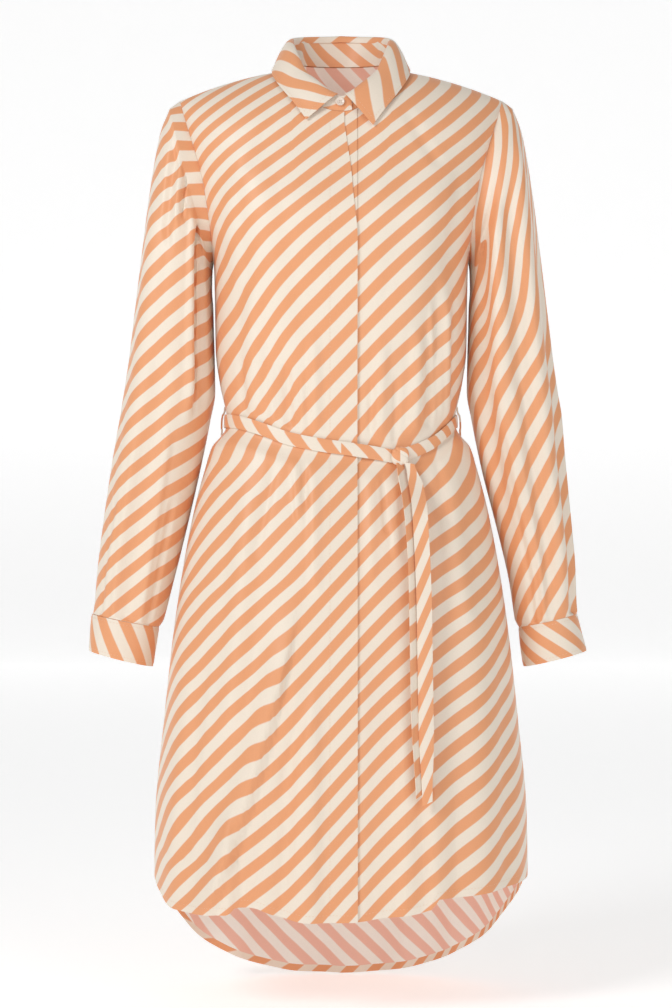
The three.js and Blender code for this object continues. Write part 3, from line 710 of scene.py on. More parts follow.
def loop_grid(hand):
    z = np.linspace(-383, -416, 30)
    x = hand * (half_width(z - 3) + curve(LOOP, "z", "off")(z))
    y = hand * np.linspace(-4, 4, 7)
    return np.stack(np.broadcast_arrays(x[:, None], y[None], z[:, None]), -1)


# Stripes, counted down the cloth: mm from one to the next going down, and going across on the
# wearer's right (low), at the centre and on the wearer's left (high), as the cloth is worn.
FRONT_STRIPES = table("z down low middle high swing shift", (
    (0, 24, 34, 36, 36, 0, 0.2),
    (-60, 24.5, 32, 33.5, 35, 0, 0.23),
    (-120, 26, 33, 34.5, 36, 0, 0.25),
    (-180, 29, 34, 35.5, 37, 0, 0.3),
    (-230, 32.2, 42, 33.6, 39, 0.35, 0.42),
    (-280, 33.6, 62, 32.6, 41, 1.0, 0.5),
    (-390, 33.5, 62, 31.6, 41, 1.2, 0.56),
    (-418, 34.5, 52, 31.2, 42, 0.9, 0.62),
    (-424, 56, 50, 31, 42, 0.85, 0.63),
    (-442, 56, 42, 30.8, 44, 0.6, 0.7),
    (-448, 32.5, 40, 30.6, 46, 0.5, 0.72),
    (-500, 31.3, 36, 30.2, 56, 0.15, 0.88),
    (-560, 31.3, 35, 29.4, 56, 0, 0.95),
    (-650, 31.3, 35, 28.6, 46, -0.1, 0.98),
    (-760, 31.3, 35, 28.6, 46, -0.25, 0.8),
    (-950, 31.3, 35, 28.8, 46, -0.5, 0.78),
    (-1070, 31.3, 35, 28.8, 46, -0.5, 0.78),
))
STRIPE_START_Z = -264.8
STRIPE_REACH = 160.0
PLEAT_STRIP = 28.0

# Spacing of stripes down and across, and where they start.
BACK_STRIPES = (31.0, 33.0, 0.3)
SLEEVE_STRIPES = {-1: (32.8, 35.5, -0.02), 1: (37.7, 26.7, 0.3)}
CUFF_STRIPES = {-1: (48.0, -26.5, 0.2), 1: (30.0, -40.0, 0.2)}
STAND_STRIPES = (30.0, 36.0)
COLLAR_STRIPES = (36.0, 55.0, 0.2)
COLLAR_TURN = (6.5e-5, -2.4e-5)  # turn of the collar's stripes down and along it, per mm squared
BELT_STRIPES = (36.0, -30.0, 0.0)
KNOT_STRIPES = (30.0, -30.0, 0.3)
LOOP_STRIPES = (36.0, 30.0)

# Past this run from its front, the right sleeve's stripes turn back by this share.
INNER_FROM = 18.0
INNER_SLACK = 0.4
# The left sleeve's cap: stripe spacing above this depth and within this run from the front.
CAP_TOP = 300.0
CAP_DOWN = 78.0
CAP_ACROSS = 16.0
CAP_REACH = 60.0

# Cloth hidden in the skirt's long pleat, counted in stripes.
PLEAT_TAKE_UP = table(
    "z stripes",
    ((-575, 0), (-650, 0.25), (-720, 0.42), (-800, 0.34), (-900, 0.2), (-985, 0.1)),
)


def counted_down(rows, start):
    """The count of stripes from a height down to any other."""
    z = np.arange(-1100.0, 81.0)
    count = running_sum(1 / curve(rows, "z", "down")(z[:-1] + 0.5))
    at_start = np.interp(start, z, count)
    return lambda value: at_start - np.interp(value, z, count)


front_count = counted_down(FRONT_STRIPES, STRIPE_START_Z)


def run_across(points, zero):
    """The distance along each row, from where it passes x = zero."""
    step = np.linalg.norm(np.diff(points[..., :2], axis=1), axis=-1)
    run = running_sum(step, 1)
    nearest = np.argmin(np.abs(points[..., 0] - zero), 1)
    rows = np.arange(len(points))
    off = points[rows, nearest, 0] - zero
    return run - (run[rows, nearest] - off)[:, None]


def front_stripes(grid, shifted):
    """Stripes of both fronts by the table; the left front's are shifted where they differ."""
    z = grid[..., 2]
    s = run_across(grid, PLACKET_MIDDLE)
    low, middle, high = (1 / curve(FRONT_STRIPES, "z", k)(z) for k in ("low", "middle", "high"))
    q = np.abs(s) / STRIPE_REACH
    sideways = np.where(q < 1, q**3 - q**4 / 2, q - 0.5)
    side = np.where(s < 0, low, high)
    across = np.sign(s) * STRIPE_REACH * (middle * q + (side - middle) * sideways)
    across -= curve(FRONT_STRIPES, "z", "swing")(z) * ease((-s - 40) / 110)
    pleat = fold_crest([FRONT_FOLDS[k][0] for k in FOLD_COLUMNS.split()[:5]], z)
    past_pleat = ease((pleat + 6 - grid[..., 0]) / PLEAT_STRIP)
    across += curve(PLEAT_TAKE_UP, "z", "stripes")(z) * past_pleat
    count = front_count(z) + across
    if shifted:
        count = count - curve(FRONT_STRIPES, "z", "shift")(z)
    return np.stack((count, s * MM), -1)


def plain_stripes(grid, down, across, start=0.0, ring=False, centre=0.5):
    """Stripes with the same spacing all over; across is negative where they fall to the right.
    They are counted from the column that lies at the share centre of a row."""
    if ring:
        grid = np.concatenate((grid, grid[:, :1]), 1)
    step = np.linalg.norm(np.diff(grid, axis=1)[..., : 2 if ring else 3], axis=-1)
    run = running_sum(step, 1)
    run = run - run[:, int((run.shape[1] - 1) * centre)][:, None]
    return np.stack((start - grid[..., 2] / down + run / across, run * MM), -1)


def sleeve_stripes(grid, hand, down, across, start):
    """Stripes round a sleeve. On the right one they are flatter beside the body, and on the left
    one's cap they run close together beside the armhole."""
    uv = plain_stripes(grid, down, across, start, ring=True, centre=SLEEVE_FRONT[hand])
    if hand < 0:
        run = uv[..., 1] / MM
        uv[..., 0] -= np.maximum(run - INNER_FROM, 0) * INNER_SLACK / across
        return uv
    z = np.concatenate((grid[..., 2], grid[:, :1, 2]), 1)
    front = grid[:, int(SLEEVE_FRONT[hand] * grid.shape[1])]
    level = np.interp(CAP_TOP, -front[:, 2], front[:, 0])
    run = uv[..., 1] / MM + (front[:, :1] - level)
    near = np.clip(run, -CAP_REACH, CAP_REACH)
    cap = start + CAP_TOP / down - (z + CAP_TOP) / CAP_DOWN + near / CAP_ACROSS
    cap += (run - near) / across
    uv[..., 0] = mix(uv[..., 0], cap, ease((z + CAP_TOP + 40) / 150))
    return uv


def band_stripes(grid, down, across, start=0.0, turn=(0.0, 0.0)):
    """Stripes on a piece by its own length and width, whichever way it turns. With a turn their
    spacing down and along it changes steadily along its length."""
    middle = grid[len(grid) // 2]
    run = run_along(middle)
    step = np.linalg.norm(np.diff(grid, axis=0), axis=-1)
    drop = running_sum(step)
    run = np.broadcast_to(run[None] - run[-1] / 2, drop.shape)
    count = start + drop * (1 / down + turn[0] * run) + run / across + turn[1] * run**2 / 2
    return np.stack((count, run * MM), -1)


def skin_normals(grid, ring):
    if ring:
        right = np.roll(grid, -1, 1) - np.roll(grid, 1, 1)
    else:
        wide = np.concatenate((grid[:, :1], grid, grid[:, -1:]), 1)
        right = wide[:, 2:] - wide[:, :-2]
    tall = np.concatenate((grid[:1], grid, grid[-1:]), 0)
    down = tall[2:] - tall[:-2]
    normal = np.cross(down, right)
    return unit(normal)


def cloth_piece(name, grid, uv, thick, ring=False, turned_rows=0):
    """A thin closed shell of cloth from a grid of outer points: columns to the right as seen from
    outside, rows down. turned_rows at the lower edge show the right side inside, as a hem or a
    doubled piece does."""
    rows, cols = grid.shape[:2]
    inner = grid - skin_normals(grid, ring) * thick
    points = np.concatenate((grid.reshape(-1, 3), inner.reshape(-1, 3))) * MM
    across = cols if ring else cols - 1
    wide = uv.shape[1]
    hemmed = 0 < turned_rows < rows
    if hemmed:
        uv = np.concatenate((uv, 2 * uv[-1:] - uv))
    i, j = (a.ravel() for a in np.meshgrid(np.arange(rows - 1), np.arange(across), indexing="ij"))

    def corners(spec):
        """Vertex and map numbers of faces, from (row, column, skin) of their corners."""
        vertex = [k * rows * cols + r * cols + c % cols for r, c, k in spec]
        place = [r * wide + np.minimum(c, wide - 1) for r, c, k in spec]
        return np.stack(vertex, 1), np.stack(place, 1)

    zero, one = np.zeros_like(i), np.ones_like(i)
    turned = i >= rows - 1 - turned_rows
    vertex, place = corners(((i, j, one), (i, j + 1, one), (i + 1, j + 1, one), (i + 1, j, one)))
    place = place + (turned[:, None] & hemmed) * rows * wide
    blocks = [
        (corners(((i, j, zero), (i + 1, j, zero), (i + 1, j + 1, zero), (i, j + 1, zero))), zero),
        ((vertex, place), np.where(turned, 0, 1)),
    ]
    k = np.arange(across)
    z, o, last = np.zeros_like(k), np.ones_like(k), np.full_like(k, rows - 1)
    blocks.append((corners(((z, k, z), (z, k + 1, z), (z, k + 1, o), (z, k, o))), z))
    blocks.append((corners(((last, k, z), (last, k, o), (last, k + 1, o), (last, k + 1, z))), z))
    if not ring:
        r = np.arange(rows - 1)
        z, o, end = np.zeros_like(r), np.ones_like(r), np.full_like(r, cols - 1)
        blocks.append((corners(((r, z, z), (r, z, o), (r + 1, z, o), (r + 1, z, z))), z))
        blocks.append((corners(((r, end, z), (r + 1, end, z), (r + 1, end, o), (r, end, o))), z))
    faces = np.concatenate([b[0][0] for b in blocks])
    places = np.concatenate([b[0][1] for b in blocks])
    slots = np.concatenate([np.broadcast_to(b[1], len(b[0][0])) for b in blocks])
    mesh = bpy.data.meshes.new(name)
    mesh.vertices.add(len(points))
    mesh.vertices.foreach_set("co", points.ravel())
    mesh.loops.add(faces.size)
    mesh.loops.foreach_set("vertex_index", faces.ravel())
    mesh.polygons.add(len(faces))
    mesh.polygons.foreach_set("loop_start", np.arange(len(faces)) * 4)
    mesh.polygons.foreach_set("material_index", slots.astype(np.int32))
    mesh.update(calc_edges=True)
    layer = mesh.uv_layers.new(name="cloth")
    layer.uv.foreach_set("vector", uv.reshape(-1, 2)[places].ravel())
    mesh.validate()
    mesh.shade_smooth()
    mesh.set_sharp_from_angle(angle=math.radians(55))
    return show(name, mesh, ("striped cloth", "striped cloth wrong side"))


def mesh_of(name, points, faces, smooth=True):
    """A mesh from points in mm."""
    mesh = bpy.data.meshes.new(name)
    mesh.from_pydata([tuple(p * MM) for p in points], [], faces)
    mesh.update()
    if smooth:
        mesh.shade_smooth()
    return mesh


def show(name, mesh, materials):
    """An object in the scene, in place of an older one of its name."""
    old = bpy.data.objects.get(name)
    if old and old.type == "MESH" and name.startswith("dress_"):
        bpy.data.objects.remove(old, do_unlink=True)
    piece = bpy.data.objects.new(name, mesh)
    for material in materials:
        mesh.materials.append(material_named(material))
    bpy.context.scene.collection.objects.link(piece)
    return piece


def dressed(piece, node):
    """Sets a piece in the place of its solid."""
    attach(piece, "root")
    if node:
        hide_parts(node)
    return piece


def sewn(node, grid, uv, thick, **kind):
    """A piece of cloth that is named after its solid and stands in its place."""
    return dressed(cloth_piece(f"dress_{node}", grid, uv, thick, **kind), node)


# Materials


def linear(colour):
    """Scene-linear values of a colour as it is seen on screen."""
    values = [c / 12.92 if c <= 0.04045 else ((c + 0.055) / 1.055) ** 2.4 for c in colour[:3]]
    return (*values, 1.0)


def new_group(name, inputs, outputs):
    group = bpy.data.node_groups.new(name, "ShaderNodeTree")
    for label, kind, value in inputs:
        socket = group.interface.new_socket(name=label, in_out="INPUT", socket_type=kind)
        if value is not None:
            socket.default_value = value
    for label, kind in outputs:
        group.interface.new_socket(name=label, in_out="OUTPUT", socket_type=kind)
    return group


def maths(nodes, links, operation, first, second=None, third=None):
    """The output of a new maths node on numbers or sockets."""
    node = nodes.new("ShaderNodeMath")
    node.operation = operation
    for socket, value in zip(node.inputs, (first, second, third)):
        if value is None:
            continue
        if isinstance(value, (int, float)):
            socket.default_value = value
        else:
            links.new(value, socket)
    return node.outputs[0]


def node_of(nodes, kind, **values):
    """A new shader node with these values on its inputs; an underscore stands for a space."""
    node = nodes.new(kind)
    for name, value in values.items():
        node.inputs[name.replace("_", " ")].default_value = value
    return node


def socket_of(sockets, identifier):
    return next(s for s in sockets if s.identifier == identifier)


def stripe_group():
    """Woven stripes from the cloth's map: its first value counts stripes."""
    name = "dress woven stripes"
    if name in bpy.data.node_groups:
        return bpy.data.node_groups[name]
    group = new_group(
        name,
        (
            ("Band Color", "NodeSocketColor", (0.8, 0.4, 0.2, 1)),
            ("Ground Color", "NodeSocketColor", (0.9, 0.9, 0.85, 1)),
            ("Band Share", "NodeSocketFloat", 0.5),
            ("Edge", "NodeSocketFloat", 0.03),
        ),
        (
            ("Color", "NodeSocketColor"),
            ("Height", "NodeSocketFloat"),
            ("Roughness", "NodeSocketFloat"),
        ),
    )
    nodes, links = group.nodes, group.links
    ends = nodes.new("NodeGroupInput"), nodes.new("NodeGroupOutput")
    place = nodes.new("ShaderNodeUVMap")
    place.uv_map = "cloth"
    split = nodes.new("ShaderNodeSeparateXYZ")
    links.new(place.outputs["UV"], split.inputs[0])
    where = nodes.new("ShaderNodeTexCoord")
    drift = node_of(nodes, "ShaderNodeTexNoise", Scale=60.0, Detail=2.0)
    links.new(where.outputs["Object"], drift.inputs["Vector"])
    wander = maths(nodes, links, "MULTIPLY_ADD", drift.outputs[0], 0.03, split.outputs[0])
    turn = maths(nodes, links, "FRACT", wander)
    # Distance inside the band: positive on it, negative off it.
    half = maths(nodes, links, "MULTIPLY", ends[0].outputs["Band Share"], 0.5)
    centred = maths(nodes, links, "ABSOLUTE", maths(nodes, links, "SUBTRACT", turn, half))
    other = maths(nodes, links, "SUBTRACT", 1.0, centred)
    nearest = maths(nodes, links, "MINIMUM", centred, other)
    inside = maths(nodes, links, "SUBTRACT", half, nearest)
    soft = maths(nodes, links, "DIVIDE", inside, ends[0].outputs["Edge"])
    band = node_of(nodes, "ShaderNodeMapRange", From_Min=-1.0, From_Max=1.0)
    band.interpolation_type = "SMOOTHSTEP"
    links.new(soft, band.inputs["Value"])
    tint = nodes.new("ShaderNodeMix")
    tint.data_type = "RGBA"
    links.new(band.outputs[0], socket_of(tint.inputs, "Factor_Float"))
    links.new(ends[0].outputs["Ground Color"], socket_of(tint.inputs, "A_Color"))
    links.new(ends[0].outputs["Band Color"], socket_of(tint.inputs, "B_Color"))
    slub = node_of(nodes, "ShaderNodeTexNoise", Scale=900.0, Detail=1.0)
    links.new(where.outputs["Object"], slub.inputs["Vector"])
    shade = node_of(nodes, "ShaderNodeMapRange", To_Min=0.95, To_Max=1.03)
    links.new(slub.outputs[0], shade.inputs["Value"])
    final = nodes.new("ShaderNodeVectorMath")
    final.operation = "SCALE"
    links.new(socket_of(tint.outputs, "Result_Color"), final.inputs[0])
    links.new(shade.outputs[0], final.inputs["Scale"])
    links.new(final.outputs[0], ends[1].inputs["Color"])
    links.new(slub.outputs[0], ends[1].inputs["Height"])
    rough = maths(nodes, links, "MULTIPLY_ADD", drift.outputs[0], 0.12, 0.4)
    links.new(rough, ends[1].inputs["Roughness"])
    return group


def cloth_material(name, band, ground, roughness_up, sheen, through=0.0):
    """Striped cloth; through is a painted glow: emission in the stripe colours that stands in for
    the light the thin cloth lets in from outside.
    """
    material = bpy.data.materials.new(name)
    material.use_nodes = True
    nodes, links = material.node_tree.nodes, material.node_tree.links
    shader = nodes["Principled BSDF"]
    stripes = nodes.new("ShaderNodeGroup")
    stripes.node_tree = stripe_group()
    stripes.inputs["Band Color"].default_value = linear(band)
    stripes.inputs["Ground Color"].default_value = linear(ground)
    links.new(stripes.outputs["Color"], shader.inputs["Base Color"])
    rough = maths(nodes, links, "ADD", stripes.outputs["Roughness"], roughness_up)
    links.new(rough, shader.inputs["Roughness"])
    bump = node_of(nodes, "ShaderNodeBump", Strength=0.12, Distance=0.0002)
    links.new(stripes.outputs["Height"], bump.inputs["Height"])
    links.new(bump.outputs[0], shader.inputs["Normal"])
    shader.inputs["Specular IOR Level"].default_value = 0.42
    shader.inputs["Sheen Weight"].default_value = sheen
    shader.inputs["Sheen Roughness"].default_value = 0.4
    # Painted glow: the cloth emits its own stripe colours in place of light let through the thin
    # cloth.
    if through:
        links.new(stripes.outputs["Color"], shader.inputs["Emission Color"])
        shader.inputs["Emission Strength"].default_value = through
    return material


def plain_material(name, colour, roughness, coat=0.0):
    material = bpy.data.materials.new(name)
    material.use_nodes = True
    shader = material.node_tree.nodes["Principled BSDF"]
    shader.inputs["Base Color"].default_value = linear(colour)
    shader.inputs["Roughness"].default_value = roughness
    shader.inputs["Coat Weight"].default_value = coat
    return material


def pearl_material(name, colour):
    """Pearly button: soft clouds under a clear gloss."""
    material = plain_material(name, colour, 0.28, 0.6)
    nodes, links = material.node_tree.nodes, material.node_tree.links
    where = nodes.new("ShaderNodeTexCoord")
    cloud = node_of(nodes, "ShaderNodeTexNoise", Scale=320.0)
    links.new(where.outputs["Object"], cloud.inputs["Vector"])
    ramp = nodes.new("ShaderNodeValToRGB")
    ramp.color_ramp.elements[0].color = linear(tuple(c * 0.93 for c in colour[:3]))
    ramp.color_ramp.elements[1].color = linear(colour)
    links.new(cloud.outputs[0], ramp.inputs[0])
    links.new(ramp.outputs[0], nodes["Principled BSDF"].inputs["Base Color"])
    return material


def material_named(name):
    """The dress's material of that name, made on its first use."""
    full = f"dress {name}"
    if full in bpy.data.materials:
        return bpy.data.materials[full]
    look = bpy.context.scene.shirt_dress_look
    if name == "striped cloth":
        return cloth_material(full, look.band, look.ground, 0.0, 0.15)
    if name == "striped cloth wrong side":
        # The wrong side carries a painted glow: emission standing in for light through the thin
        # cloth.
        return cloth_material(full, look.wrong_band, look.wrong_ground, 0.18, 0.1, look.painted_through_glow)
    if name == "pearl":
        return pearl_material(full, look.pearl)
    if name == "thread":
        return plain_material(full, look.thread, 0.6)
    # Painted shade: the dark colour of the discs in the button's holes.
    if name == "button hole painted shade":
        return plain_material(full, (0.35, 0.3, 0.27), 0.7)
    return plain_material(full, look.paper, 0.9)


# Stitching


# Corners of a stitch: 0 and 1 its ends, 2 and 3 its sides, 4 and 5 its top.
STITCH_FACES = (
    (0, 3, 4), (3, 5, 4), (3, 1, 5), (0, 4, 2), (4, 5, 2), (5, 1, 2), (0, 2, 3), (1, 3, 2),
)


STITCH_SUNK, STITCH_SIDE_UP = 0.15, 0.08
STITCH_TALL = 0.55  # share of its width


def stitch_mesh(name, lines, long=2.6, gap=1.3, wide=0.42):
    """Rows of stitches as small lozenges of thread: each line is its points and the way out."""
    points, faces = [], []
    for line, out in lines:
        run = run_along(line)
        starts = np.arange(0.6, run[-1] - long, long + gap)
        if not len(starts):
            continue
        a, b, up = (
            np.stack([np.interp(at, run, values[:, k]) for k in range(3)], -1)
            for at, values in ((starts, line), (starts + long, line), (starts + long / 2, out))
        )
        up = unit(up)
        side = unit(np.cross(b - a, up))
        middle = (a + b) / 2
        low, high = up * -STITCH_SUNK, up * wide * STITCH_TALL
        for n in range(len(starts)):
            base = len(points)
            points += [a[n] + low[n], b[n] + low[n]]
            sides = middle[n] + side[n] * wide / 2, middle[n] - side[n] * wide / 2
            points += [at + up[n] * STITCH_SIDE_UP for at in sides]
            points += [mix(a[n], b[n], share) + high[n] for share in (0.3, 0.7)]
            faces += [(base + h, base + g, base + f) for f, g, h in STITCH_FACES]
    return mesh_of(name, points, faces, smooth=False)


def body_line(side, x, z, out=0.15):
    """A line over the body's cloth, and the way out along it."""
    line = on_body(side, x, z, out)
    further = on_body(side, x, z, out + 1.0)
    return line, further - line


def grid_line(grid, rows, cols, ring=False, out=0.15):
    """A line over a grid, through fractional row and column numbers."""
    normals = skin_normals(grid, ring)
    count = grid.shape[1]

    def sample(values):
        r0 = np.clip(np.floor(rows).astype(int), 0, len(values) - 2)
        c0 = np.floor(cols).astype(int)
        c1 = (c0 + 1) % count if ring else np.minimum(c0 + 1, count - 1)
        c0 = c0 % count if ring else np.clip(c0, 0, count - 1)
        fr, fc = (rows - r0)[:, None], (cols - np.floor(cols))[:, None]
        upper = mix(values[r0, c0], values[r0, c1], fc)
        return mix(upper, mix(values[r0 + 1, c0], values[r0 + 1, c1], fc), fr)

    normal = sample(normals)
    return sample(grid) + normal * out, normal


# Add-on


class ShirtDressSizes(bpy.types.PropertyGroup):
    """Sizes of the cloth, the doubled cuff and collar, and the button."""

    cloth_thickness: FloatProperty(
        name="Cloth thickness", description="Thickness of the cloth",
        default=0.0008, min=0.0003, max=0.002, unit="LENGTH",
    )
    cuff_thickness: FloatProperty(
        name="Cuff thickness", description="Thickness of the doubled cuff and collar",
        default=0.0014, min=0.0005, max=0.003, unit="LENGTH",
    )
    button_radius: FloatProperty(
        name="Button radius", description="Half the collar button's width",
        default=0.005, min=0.003, max=0.008, unit="LENGTH",
    )


class ShirtDressLook(bpy.types.PropertyGroup):
    """Colours of the cloth, thread and button."""

    band: FloatVectorProperty(
        name="Stripe", description="Colour of the woven stripe", subtype="COLOR_GAMMA", size=3,
        default=(0.915, 0.635, 0.45), min=0, max=1,
    )
    ground: FloatVectorProperty(
        name="Ground", description="Colour between the stripes", subtype="COLOR_GAMMA", size=3,
        default=(0.937, 0.885, 0.818), min=0, max=1,
    )
    wrong_band: FloatVectorProperty(
        name="Wrong side stripe", description="Colour of the stripe on the wrong side",
        subtype="COLOR_GAMMA", size=3, default=(0.84, 0.655, 0.585), min=0, max=1,
    )
    wrong_ground: FloatVectorProperty(
        name="Wrong side ground", description="Colour between the stripes on the wrong side",
        subtype="COLOR_GAMMA", size=3, default=(0.86, 0.835, 0.80), min=0, max=1,
    )
    # Painted glow: emission strength of the wrong side, standing in for light through the thin
    # cloth.
    painted_through_glow: FloatProperty(
        name="Light let through", description="Light that the thin cloth lets in",
        default=0.26, min=0, max=1,
    )
    pearl: FloatVectorProperty(
        name="Button", description="Colour of the pearly button", subtype="COLOR_GAMMA", size=3,
        default=(0.93, 0.86, 0.80), min=0, max=1,
    )
    thread: FloatVectorProperty(
        name="Thread", description="Colour of the stitching", subtype="COLOR_GAMMA", size=3,
        default=(0.93, 0.78, 0.66), min=0, max=1,
    )
    paper: FloatVectorProperty(
        name="Studio paper", description="Colour of the floor and backdrop",
        subtype="COLOR_GAMMA", size=3, default=(0.97, 0.97, 0.97), min=0, max=1,
    )


class ShirtDressStudio(bpy.types.PropertyGroup):
    """The studio's camera and lights."""

    distance: FloatProperty(
        name="Camera distance", description="From the camera to the shoulder line",
        default=3.2, min=1, max=8, unit="LENGTH",
    )
    key_power: FloatProperty(
        name="Key light", description="Power of the key light",
        default=39.5, min=0, max=500, unit="POWER",
    )
    fill_power: FloatProperty(
        name="Fill light", description="Power of the fill light",
        default=13.0, min=0, max=500, unit="POWER",
    )
    sky: FloatProperty(
        name="Room light", description="Strength of the even light all round",
        default=0.4, min=0, max=5,
    )
    glow: FloatProperty(
        name="Paper glow", description="Light of the lit paper backdrop",
        default=0.385, min=0, max=5,
    )


TUCK_UNDER, TUCK_START, TUCK_WIDE = 2.8, 20, 26


def tuck(x):
    """How far the left front steps in under the placket."""
    return -TUCK_UNDER * (1 - ease((x - TUCK_START) / TUCK_WIDE))


class SHIRTDRESS_OT_fronts(bpy.types.Operator):
    """Make both fronts and the fly band"""

    bl_idname = "shirt_dress.fronts"
    bl_label = "Fronts"

    def execute(self, context):
        thick = context.scene.shirt_dress_sizes.cloth_thickness / MM
        grid = front_grid(-1, UNDER_EDGE, placket_edge, lambda x: np.zeros(x.shape))
        uv = front_stripes(grid, False)
        piece = sewn("front_right", grid, uv, thick, turned_rows=TURNED_HEM)
        grid = front_grid(1, FLY_EDGE, lambda z: np.full(z.shape, UNDER_EDGE), tuck)
        uv = front_stripes(grid, True)
        piece = sewn("front_left", grid, uv, thick, turned_rows=TURNED_HEM)
        grid = fly_grid()
        piece = sewn("fly_band", grid, front_stripes(grid, True), FLY_THICK)
        return {"FINISHED"}


class SHIRTDRESS_OT_back(bpy.types.Operator):
    """Make the back"""

    bl_idname = "shirt_dress.back"
    bl_label = "Back"

    def execute(self, context):
        thick = context.scene.shirt_dress_sizes.cloth_thickness / MM
        grid = back_grid()
        uv = plain_stripes(grid, *BACK_STRIPES)
        piece = sewn("back", grid, uv, thick, turned_rows=TURNED_HEM)
        return {"FINISHED"}


class SHIRTDRESS_OT_sleeves(bpy.types.Operator):
    """Make both sleeves and their cuffs"""

    bl_idname = "shirt_dress.sleeves"
    bl_label = "Sleeves and cuffs"

    def execute(self, context):
        sizes = context.scene.shirt_dress_sizes
        thick, double = sizes.cloth_thickness / MM, sizes.cuff_thickness / MM
        for hand, side in ((-1, "right"), (1, "left")):
            grid = sleeve_grid(hand)
            uv = sleeve_stripes(grid, hand, *SLEEVE_STRIPES[hand])
            piece = sewn(f"sleeve_{side}", grid, uv, thick, ring=True)
            grid = cuff_grid(hand)
            uv = plain_stripes(grid, *CUFF_STRIPES[hand], ring=True, centre=SLEEVE_FRONT[hand])
            piece = sewn(f"cuff_{side}", grid, uv, double, ring=True, turned_rows=DOUBLED)
        return {"FINISHED"}


class SHIRTDRESS_OT_collar(bpy.types.Operator):
    """Make the collar stand and the collar's fall"""

    bl_idname = "shirt_dress.collar"
    bl_label = "Collar"

    def execute(self, context):
        double = context.scene.shirt_dress_sizes.cuff_thickness / MM
        grid = stand_grid()
        uv = band_stripes(grid, *STAND_STRIPES)
        piece = sewn("collar_stand", grid, uv, double, turned_rows=DOUBLED)
        grid = fall_grid()
        uv = band_stripes(grid, *COLLAR_STRIPES, COLLAR_TURN)
        piece = sewn("collar", grid, uv, double, turned_rows=DOUBLED)
        return {"FINISHED"}


class SHIRTDRESS_OT_belt(bpy.types.Operator):
    """Make the belt, its knot, its tails and the loops that carry it"""

    bl_idname = "shirt_dress.belt"
    bl_label = "Belt"

    def execute(self, context):
        grid = belt_grid()
        uv = plain_stripes(grid, *BELT_STRIPES, ring=True)
        piece = sewn("belt", grid, uv, BELT_THICK, ring=True, turned_rows=DOUBLED)
        grid = knot_grid()
        uv = plain_stripes(grid, *KNOT_STRIPES, ring=True)
        dressed(knot_piece("dress_belt_knot", grid, uv), "belt_knot")
        cloth = float(-on_body(-1, *KNOT_PLACE)[1])
        for name, (rows, off, start, phase, turn, down, across, long) in TAILS.items():
            grid = tail_grid(rows, off, cloth + start, phase, turn)
            uv = plain_stripes(grid, down, across, phase)
            piece = sewn(f"belt_tail_{name}", grid, uv, TAIL_THICK, turned_rows=DOUBLED)
        for hand, side in ((-1, "right"), (1, "left")):
            grid = loop_grid(hand)
            uv = plain_stripes(grid, *LOOP_STRIPES)
            piece = sewn(f"loop_{side}", grid, uv, LOOP_THICK)
        return {"FINISHED"}


def knot_piece(name, grid, uv):
    """A closed lump from rings, with a point at each end."""
    rows, cols = grid.shape[:2]
    points = [*grid.reshape(-1, 3), grid[0].mean(0), grid[-1].mean(0)]
    faces, places = [], []
    for i in range(rows - 1):
        for j in range(cols):
            k = (j + 1) % cols
            faces.append((i * cols + j, (i + 1) * cols + j, (i + 1) * cols + k, i * cols + k))
            places += [uv[i, j], uv[i + 1, j], uv[i + 1, j + 1], uv[i, j + 1]]
    for j in range(cols):
        k = (j + 1) % cols
        faces.append((rows * cols, j, k))
        places += [uv[0, j], uv[0, j], uv[0, j + 1]]
        faces.append((rows * cols + 1, (rows - 1) * cols + k, (rows - 1) * cols + j))
        places += [uv[-1, j], uv[-1, j + 1], uv[-1, j]]
    mesh = mesh_of(name, points, faces)
    layer = mesh.uv_layers.new(name="cloth")
    layer.uv.foreach_set("vector", np.array(places).ravel())
    return show(name, mesh, ("striped cloth",))


BUTTON_PLACE = (-1.1, -73.2, -42.0)
BUTTON_TILT = 0.16
# The button's turned outline: radius as a share of its own, and height in mm.
BUTTON_OUTLINE = (
    (0, 0.35), (0.5, 0.35), (0.62, 0.5), (0.74, 0.95), (0.88, 1.1), (0.97, 0.9),
    (1, 0.4), (0.96, -0.3), (0.7, -0.9), (0.3, -1.0), (0, -1.0),
)
# Material, radius and height of what fills each hole, and how far the holes lie from the middle.
# The holes are dark discs: painted shade standing in for the inside of each hole.
BUTTON_INSETS = {"holes": ("button hole painted shade", 0.55, 0.42), "thread": ("thread", 0.32, 0.62)}
HOLE_OFF = 0.95


def lathe(profile, sides):
    """Points and faces of a closed turned shape from (radius, height) pairs, ends on the axis."""
    points, faces = [], []
    for radius, height in profile[1:-1]:
        for k in range(sides):
            turn = 2 * math.pi * k / sides
            points.append((radius * math.cos(turn), radius * math.sin(turn), height))
    points += [(0, 0, profile[0][1]), (0, 0, profile[-1][1])]
    rings = len(profile) - 2
    for i in range(rings - 1):
        for k in range(sides):
            n = (k + 1) % sides
            faces.append((i * sides + k, (i + 1) * sides + k, (i + 1) * sides + n, i * sides + n))
    for k in range(sides):
        n = (k + 1) % sides
        faces.append((rings * sides, k, n))
        faces.append((rings * sides + 1, (rings - 1) * sides + n, (rings - 1) * sides + k))
    return np.array(points, float), faces


